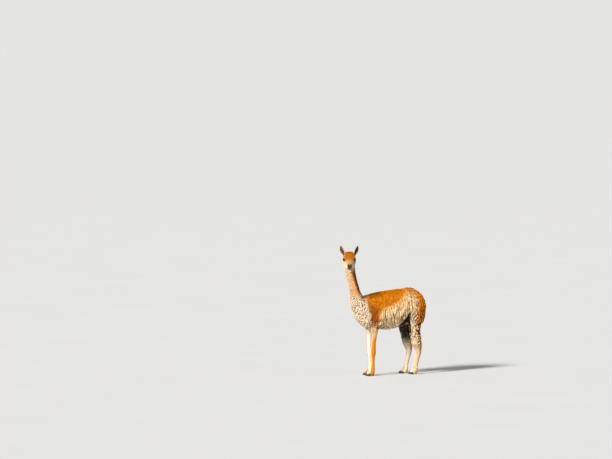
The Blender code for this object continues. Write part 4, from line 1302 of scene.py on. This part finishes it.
def ear_edge(turn, around, side, width):
    """1 along one edge of the ear: half way round the ring on one side, and at its start on the other."""
    if side > 0:
        return bell(turn - (EAR_ARC - 1), width)
    return np.maximum(bell(turn, width), bell(turn - around, width))


def ear_colour(share, inner, edge):
    """Dark inside, brown behind, with a cream edge that is broader towards the root."""
    root = fall(0.1, 0.5, share)
    return painted("ear_back", ("neck_back", root), ("ear_inner", inner), ("ear_fringe", edge))


def ear_hair(name, side, packed, faces, draw):
    """Tufts up along one ear, longer on its fringe and fewer inside."""
    spot, faced = scattered(packed, faces, vertex_normals(packed[:, :3], faces), EAR_SAMPLES, draw)
    pick = thinned(spot[:, :3], EAR_TUFT_SPACING)
    spot, faced = spot[pick], faced[pick]
    pick = (spot[:, 3] > 0.0) & (draw.random(len(spot)) > 0.55 * spot[:, 4])
    spot, faced = spot[pick], faced[pick]
    share, inner, edge = spot[:, 3:].T
    lie = unit(np.array(ear_matrix(side))[:3, 2] + 0.25 * faced + 0.10 * draw.normal(size=faced.shape))
    lie = unit(lie - 0.75 * faced * (lie * faced).sum(1)[:, None])
    tall = 0.009 + 0.007 * smooth(0.25, 0.7, edge) * fall(0.4, 1.0, share)
    tall = tall * draw.uniform(0.7, 1.2, len(spot)) * (1 - 0.45 * smooth(0.75, 1.0, share))
    t = np.linspace(0, 1, 3)[None, :, None]
    paths = spot[:, None, :3] - faced[:, None] * 0.0006 * (1 - t)
    paths = paths + lie[:, None] * tall[:, None, None] * t + faced[:, None] * 0.0012 * np.sin(2.2 * t)
    half = draw.uniform(0.0010, 0.0018, len(spot))
    flat = np.stack([0.27 + 0.15 * (side > 0) + 0.12 * share, 0.92 + 0.06 * draw.random(len(spot))], 1)
    shade = draw.uniform(0.85, 1.12, len(spot))
    faced = np.repeat(faced[:, None], 3, 1)
    return coat_piece(name, paths, faced, half, 0.5 * half, ear_colour(share, inner, edge), shade, flat)


def ear_pieces():
    """Each ear's shell, and the hair on it with the pale fringe along its edges."""
    draw = np.random.default_rng(SEED + 7)
    made = []
    for word, side in SIDES:
        rings, level = ear_rings(side)
        around = rings.shape[1]
        poles = [rings[0].mean(0) - (0, 0, 0.004), rings[-1].mean(0) + (0, 0, 0.0015)]
        points, faces = loft(rings, poles)
        points, faces = outward(moved(points, ear_matrix(side)), faces)
        turn = np.append(np.tile(np.arange(around), len(level)), (12, 12))
        share = np.append(np.repeat(level, around), (level[0], level[-1]))
        inner = (turn > EAR_ARC + 1) * smooth(0.05, 0.16, share)
        edge = ear_edge(turn, around, side, 2.4) * (1 - 0.7 * smooth(0.45, 0.85, share))
        edge = np.clip(edge + 0.55 * ear_edge(turn, around, -side, 2.0) * fall(0.25, 0.60, share), 0, 1)
        shell = mesh_object(f"ear_shell_{word}", points, faces)
        colour_attribute(shell, ear_colour(share, inner, edge))
        packed = np.column_stack([points, share, inner, edge])
        made += [shell, ear_hair(f"coat_ear_{word}", side, packed, faces, draw)]
    return made


def lid_path(side, count):
    """The eye's opening as a loop on the ball: a level oval, a little flatter below."""
    angle = np.linspace(0, 2 * math.pi, count, endpoint=False)
    centre = np.array(EYE_PLACE) * (side, 1, 1)
    along = np.cos(angle) * EYE_RADIUS * EYE_OPEN[0]
    rise = np.sin(angle) * EYE_RADIUS * EYE_OPEN[1] * np.where(np.sin(angle) > 0, 0.98, 0.92)
    out = np.sqrt(np.maximum(EYE_RADIUS**2 - along**2 - rise**2, 0))
    return np.stack([centre[0] + side * out, centre[1] + along, centre[2] + rise], 1), centre, angle


def eyeball(name, side):
    """A ball with a bulge in front and a level pupil."""
    turn = np.linspace(0, 2 * math.pi, 64, endpoint=False)[None]
    polar = np.linspace(0, math.pi, 42)[1:-1, None]
    radius = EYE_RADIUS * (1 + EYE_BULGE * smooth(0.80, 1.0, np.cos(polar)))
    out = side * radius * np.cos(polar) + 0 * turn
    ball = np.stack([out, radius * np.sin(polar) * np.cos(turn), radius * np.sin(polar) * np.sin(turn)], -1)
    points, faces = loft(ball, [(side * EYE_RADIUS * (1 + EYE_BULGE), 0, 0), (-side * EYE_RADIUS, 0, 0)])
    pupil = fall(0.85, 1.05, np.hypot(points[:, 1] / PUPIL[0], points[:, 2] / PUPIL[1]))
    points = moved(points + np.array(EYE_PLACE) * (side, 1, 1), HEAD)
    eye = mesh_object(name, *outward(points, faces))
    number_attribute(eye, "pupil", pupil)
    return eye


def lashes(name, side, path, centre, angle, draw):
    """Lashes in threes along the upper lid: out, forward and a little down."""
    pick = np.repeat(np.flatnonzero(np.sin(angle) > 0.10), 3)
    count = len(pick)
    root = path[pick] + draw.normal(0, 0.0005, (count, 3))
    out = unit(root - centre)
    lie = unit(out * (1, 1, 0.5) + np.array((side * 0.7, 0.25, -0.30)) + draw.normal(0, 0.10, out.shape))
    tall = draw.uniform(*LASH_LENGTH, count)
    t = np.linspace(0, 1, 4)[None, :, None]
    paths = root[:, None] + lie[:, None] * tall[:, None, None] * t + np.array((0, 0, -0.004)) * t**2
    faced = np.repeat((out @ HEAD[:3, :3].T)[:, None], 4, 1)
    half = np.full(count, 0.00045)
    colour = np.tile(linear("lid"), (count, 1))
    flat = np.stack([0.62 + 0.1 * (side > 0) + 0.05 * draw.random(count), np.full(count, 0.95)], 1)
    return coat_piece(name, moved(paths, HEAD), faced, half, 0.8 * half, colour, np.ones(count), flat)


def eye_pieces():
    """Each eye: a ball, dark lids round it and lashes along the upper lid."""
    draw = np.random.default_rng(SEED + 3)
    made = []
    for word, side in SIDES:
        path, centre, angle = lid_path(side, 72)
        points, faces = ring_tube(path, LID_THICK * (1 + 0.30 * np.sin(angle)), centre, 10)
        made.append(eyeball(f"eyeball_{word}", side))
        made.append(mesh_object(f"lids_{word}", *outward(moved(points, HEAD), faces)))
        made.append(lashes(f"lashes_{word}", side, path, centre, angle, draw))
    return made


def nail_object():
    """All eight nails: the toe's own outline from the cut to the tip, a little larger than the skin's."""
    rows = eased(TOE_ROWS, 12)
    rings = toe_rings(rows[(rows[:, 0] + rows[:, 2]) / 2 > NAIL_CUT], 36)
    middle = rings.mean(axis=1, keepdims=True)
    grow = rings - middle
    rings = middle + grow * (1 + NAIL_PROUD / np.linalg.norm(grow, axis=2, keepdims=True))
    rings[..., 2] = np.maximum(rings[..., 2], 0)
    poles = np.array([rings[0].mean(0), body_point(0, *TOE_POLES[1])])
    poles[1, 1] -= 0.0015
    return mesh_object("toenails", *joined(toe_shapes(rings, poles)))


# Materials

# First and second colour, scale of the pattern, roughness, depth of the bump.
TWO_TONES = {
    "lid_leather": ((0.012, 0.009, 0.008), (0.030, 0.021, 0.017), 500, 0.45, 0.0004),
    "nail_horn": ((0.020, 0.016, 0.013), (0.055, 0.042, 0.032), 260, 0.42, 0.0005),
    "floor_paint": ((0.726, 0.739, 0.756), (0.738, 0.751, 0.768), 0.8, 0.9, 0.0),
}


def principled(name, roughness, **sockets):
    """A material with one shader: a plain value goes straight to its socket."""
    made = bpy.data.materials.new(name)
    made.use_nodes = True
    nodes = made.node_tree.nodes
    nodes.clear()
    shader = nodes.new("ShaderNodeBsdfPrincipled")
    out = nodes.new("ShaderNodeOutputMaterial")
    made.node_tree.links.new(shader.outputs["BSDF"], out.inputs["Surface"])
    shader.inputs["Roughness"].default_value = roughness
    for socket, value in sockets.items():
        shader.inputs[socket.replace("_", " ")].default_value = value
    return made, made.node_tree, shader


def noise_node(tree, scale, detail=3.0, stretch=None):
    """Noise on object coordinates, stretched along the axes where asked."""
    where = tree.nodes.new("ShaderNodeTexCoord")
    texture = tree.nodes.new("ShaderNodeTexNoise")
    texture.inputs["Scale"].default_value = scale
    texture.inputs["Detail"].default_value = detail
    source = where.outputs["Object"]
    if stretch:
        mapping = tree.nodes.new("ShaderNodeMapping")
        mapping.inputs["Scale"].default_value = stretch
        tree.links.new(source, mapping.inputs["Vector"])
        source = mapping.outputs["Vector"]
    tree.links.new(source, texture.inputs["Vector"])
    return texture.outputs["Fac"]


def ranged(tree, value, low, high):
    """A value from 0 to 1 carried to the range from low to high."""
    node = tree.nodes.new("ShaderNodeMapRange")
    node.inputs["To Min"].default_value = low
    node.inputs["To Max"].default_value = high
    tree.links.new(value, node.inputs["Value"])
    return node.outputs["Result"]


def multiplied(tree, colour, factor):
    """A colour times a number."""
    node = tree.nodes.new("ShaderNodeVectorMath")
    node.operation = "SCALE"
    tree.links.new(colour, node.inputs[0])
    tree.links.new(factor, node.inputs["Scale"])
    return node.outputs["Vector"]


def attribute_node(tree, name, output="Color"):
    """What the mesh holds under a name."""
    node = tree.nodes.new("ShaderNodeAttribute")
    node.attribute_name = name
    return node.outputs[output]


def bumped(tree, shader, height, strength, distance):
    """Gives a shader the bump of a height."""
    node = tree.nodes.new("ShaderNodeBump")
    node.inputs["Strength"].default_value = strength
    node.inputs["Distance"].default_value = distance
    tree.links.new(height, node.inputs["Height"])
    tree.links.new(node.outputs["Normal"], shader.inputs["Normal"])


def hair_material(name, roughness, spread):
    """Coat colour from the mesh, varied by fine noise, with a soft sheen."""
    sheen = {"Sheen_Weight": 0.03, "Sheen_Roughness": 0.45}
    made, tree, shader = principled(name, roughness, Specular_IOR_Level=0.10, **sheen)
    fine = ranged(tree, noise_node(tree, 260, 3.0), 1 - spread, 1 + spread)
    tree.links.new(multiplied(tree, attribute_node(tree, "coat"), fine), shader.inputs["Base Color"])
    bumped(tree, shader, noise_node(tree, 620, 2.0, (1, 1, 0.25)), 0.35, 0.0008)
    return made


def skin_material():
    """The markings under the coat, with a fine nap, and smooth dark leather on nose and lips."""
    made, tree, shader = principled("short_coat", 0.72, Specular_IOR_Level=0.12)
    fine = ranged(tree, noise_node(tree, 420, 3.0, (1, 1, 0.4)), 0.80, 1.12)
    tree.links.new(multiplied(tree, attribute_node(tree, "coat"), fine), shader.inputs["Base Color"])
    tree.links.new(ranged(tree, attribute_node(tree, "bare", "Fac"), 0.78, 0.42), shader.inputs["Roughness"])
    bumped(tree, shader, noise_node(tree, 700, 3.0, (1, 1, 0.4)), 0.5, 0.0010)
    return made


def eye_material():
    """Dark brown round a black level pupil, wet."""
    wet = {"Coat_Weight": 0.25, "Coat_Roughness": 0.02, "Specular_IOR_Level": 0.25}
    made, tree, shader = principled("eye_glass", 0.10, **wet)
    ramp = tree.nodes.new("ShaderNodeValToRGB")
    ramp.color_ramp.elements[0].color = (0.020, 0.010, 0.005, 1)
    ramp.color_ramp.elements[1].color = (0.0015, 0.001, 0.001, 1)
    streaks = ranged(tree, noise_node(tree, 300, 4.0), -0.15, 0.25)
    total = tree.nodes.new("ShaderNodeMath")
    total.operation = "ADD"
    tree.links.new(attribute_node(tree, "pupil", "Fac"), total.inputs[0])
    tree.links.new(streaks, total.inputs[1])
    tree.links.new(total.outputs[0], ramp.inputs["Fac"])
    tree.links.new(ramp.outputs["Color"], shader.inputs["Base Color"])
    return made


def two_tone_material(name):
    """Two close colours mixed by noise, with the same noise as bump."""
    first, second, scale, roughness, depth = TWO_TONES[name]
    made, tree, shader = principled(name, roughness)
    ramp = tree.nodes.new("ShaderNodeValToRGB")
    for element, colour, position in zip(ramp.color_ramp.elements, (first, second), (0.35, 0.68)):
        element.color = (*colour, 1)
        element.position = position
    pattern = noise_node(tree, scale, 4.0)
    tree.links.new(pattern, ramp.inputs["Fac"])
    tree.links.new(ramp.outputs["Color"], shader.inputs["Base Color"])
    bumped(tree, shader, pattern, 0.4, depth)
    return made


# Scene

# The camera: its turn, its height over the horizon, and its lens and scale in pixels of the photograph.
AZIMUTH = math.radians(55)
ELEVATION = math.radians(4)
FOCAL_PIXELS = 3400
PIXEL = 0.01054
FRAME_SIZE = (612, 459)

# The ground under the near hind foot, and where it falls in the photograph.
REFERENCE = (0.082, 0.318, 0.0)
REFERENCE_PIXEL = (413.5, 374.0)
SENSOR = 36.0

FLOOR_REACH = 1500.0
KEY_STRENGTH = 5.4
FILL_STRENGTH = 0.06
SKY_STRENGTH = 0.32
BACKDROP_STRENGTH = 0.835
SKY_COLOUR = (0.944, 0.940, 0.921, 1)

# The slot of each piece, by a word in its name; the others are of the fleece.
SLOTS = {
    "leg": "leg_coat",
    "head": "face_coat",
    "ear": "face_coat",
    "lids": "face_coat",
    "lashes": "face_coat",
    "eyeball": "eye",
    "toenails": "horn",
}


def camera_axes():
    """Right, up and back of the camera, from its turn and its height over the horizon."""
    level = math.cos(ELEVATION)
    back = np.array((math.sin(AZIMUTH) * level, -math.cos(AZIMUTH) * level, math.sin(ELEVATION)))
    right = np.array((math.cos(AZIMUTH), math.sin(AZIMUTH), 0))
    return right, np.cross(back, right), back


def camera_object():
    """A long lens in line with the photograph's: the near hind foot falls on its place in the frame."""
    right, up, back = camera_axes()
    reference = np.array(REFERENCE) + SHIFT
    place = reference + back * FOCAL_PIXELS * PIXEL
    aim = reference - right * (REFERENCE_PIXEL[0] - FRAME_SIZE[0] / 2) * PIXEL
    aim = aim + up * (REFERENCE_PIXEL[1] - FRAME_SIZE[1] / 2) * PIXEL
    data = bpy.data.cameras.new("camera")
    data.lens = FOCAL_PIXELS * SENSOR / FRAME_SIZE[0]
    data.sensor_width = SENSOR
    data.clip_start, data.clip_end = 0.5, 4000
    camera = bpy.data.objects.new("camera", data)
    turn = Vector(aim - place).to_track_quat("-Z", "Y").to_matrix().to_4x4()
    camera.matrix_world = Matrix.Translation(place) @ turn
    bpy.context.scene.collection.objects.link(camera)
    bpy.context.scene.camera = camera


def sun(name, direction, strength, colour, softness):
    """A far lamp that shines from a direction given as right, up and back of the camera."""
    right, _, back = camera_axes()
    source = Vector(direction[0] * right + direction[1] * np.array((0, 0, 1)) + direction[2] * back)
    data = bpy.data.lights.new(name, "SUN")
    data.energy = strength
    data.color = colour
    data.angle = softness
    lamp = bpy.data.objects.new(name, data)
    lamp.rotation_mode = "QUATERNION"
    lamp.rotation_quaternion = source.normalized().to_track_quat("Z", "Y")
    bpy.context.scene.collection.objects.link(lamp)


def studio():
    """A soft key from the upper left, a weak fill, a pale sky and a pale floor."""
    sun("key", (-0.64, 0.52, 0.92), KEY_STRENGTH, (1.0, 0.97, 0.92), 0.16)
    sun("fill", (0.9, 0.5, 0.6), FILL_STRENGTH, (0.93, 0.96, 1.0), 0.9)
    world = bpy.data.worlds.new("studio")
    world.use_nodes = True
    tree = world.node_tree
    sky = tree.nodes["Background"]
    sky.inputs["Color"].default_value = SKY_COLOUR
    path = tree.nodes.new("ShaderNodeLightPath")
    strength = ranged(tree, path.outputs["Is Camera Ray"], SKY_STRENGTH, BACKDROP_STRENGTH)
    tree.links.new(strength, sky.inputs["Strength"])
    bpy.context.scene.world = world
    bpy.context.scene.view_settings.view_transform = "Standard"
    points = FLOOR_REACH * np.array([(-1, -1, 0), (1, -1, 0), (1, 1, 0), (-1, 1, 0)], float)
    floor = mesh_object("floor", points, np.array([(0, 1, 2), (0, 2, 3)]), shift=False)
    floor.data.materials.append(two_tone_material("floor_paint"))


def dressed(obj, material):
    """Gives a piece its material and its place in the table."""
    obj.data.materials.clear()
    obj.data.materials.append(material)
    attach(obj, "root")


def slot_of(name):
    """The slot of the first word that the name holds."""
    return next((slot for word, slot in SLOTS.items() if word in name), "fleece")


def main():
    """Makes and dresses every piece, hides the imported solids, and sets the scene."""
    skin = skin_object()
    points, faces = arrays_of(skin.data)
    place = Place(points, vertex_normals(points, faces))
    shade = 0.72 + 0.22 * np.max([place.head, place.fore_leg, place.hind_leg], 0)
    colour_attribute(skin, coat_colour(place) * shade[:, None])
    number_attribute(skin, "bare", bare_share(place) * place.head)
    dressed(skin, skin_material())
    short = hair_material("short_hair", 0.78, 0.12)
    looks = {
        "fleece": hair_material("fleece_locks", 0.85, 0.10),
        "eye": eye_material(),
        "horn": two_tone_material("nail_horn"),
    }
    lid_leather = two_tone_material("lid_leather")
    pieces = [*coat_pieces(points, faces), *ear_pieces(), *eye_pieces(), nail_object()]
    for piece in pieces:
        leather = piece.name.startswith("lids")
        dressed(piece, lid_leather if leather else looks.get(slot_of(piece.name), short))
        for word, node in (("ear_shell", "ear"), ("eyeball", "eye")):
            if piece.name.startswith(word):
                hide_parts(piece.name.replace(word, node))
    nodes = list(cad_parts)
    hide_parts(*(node for node in nodes if node.startswith("nail_")))
    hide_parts(*(node for node in nodes if not node.startswith(("nail_", "eye_", "ear_"))))
    camera_object()
    studio()


main()
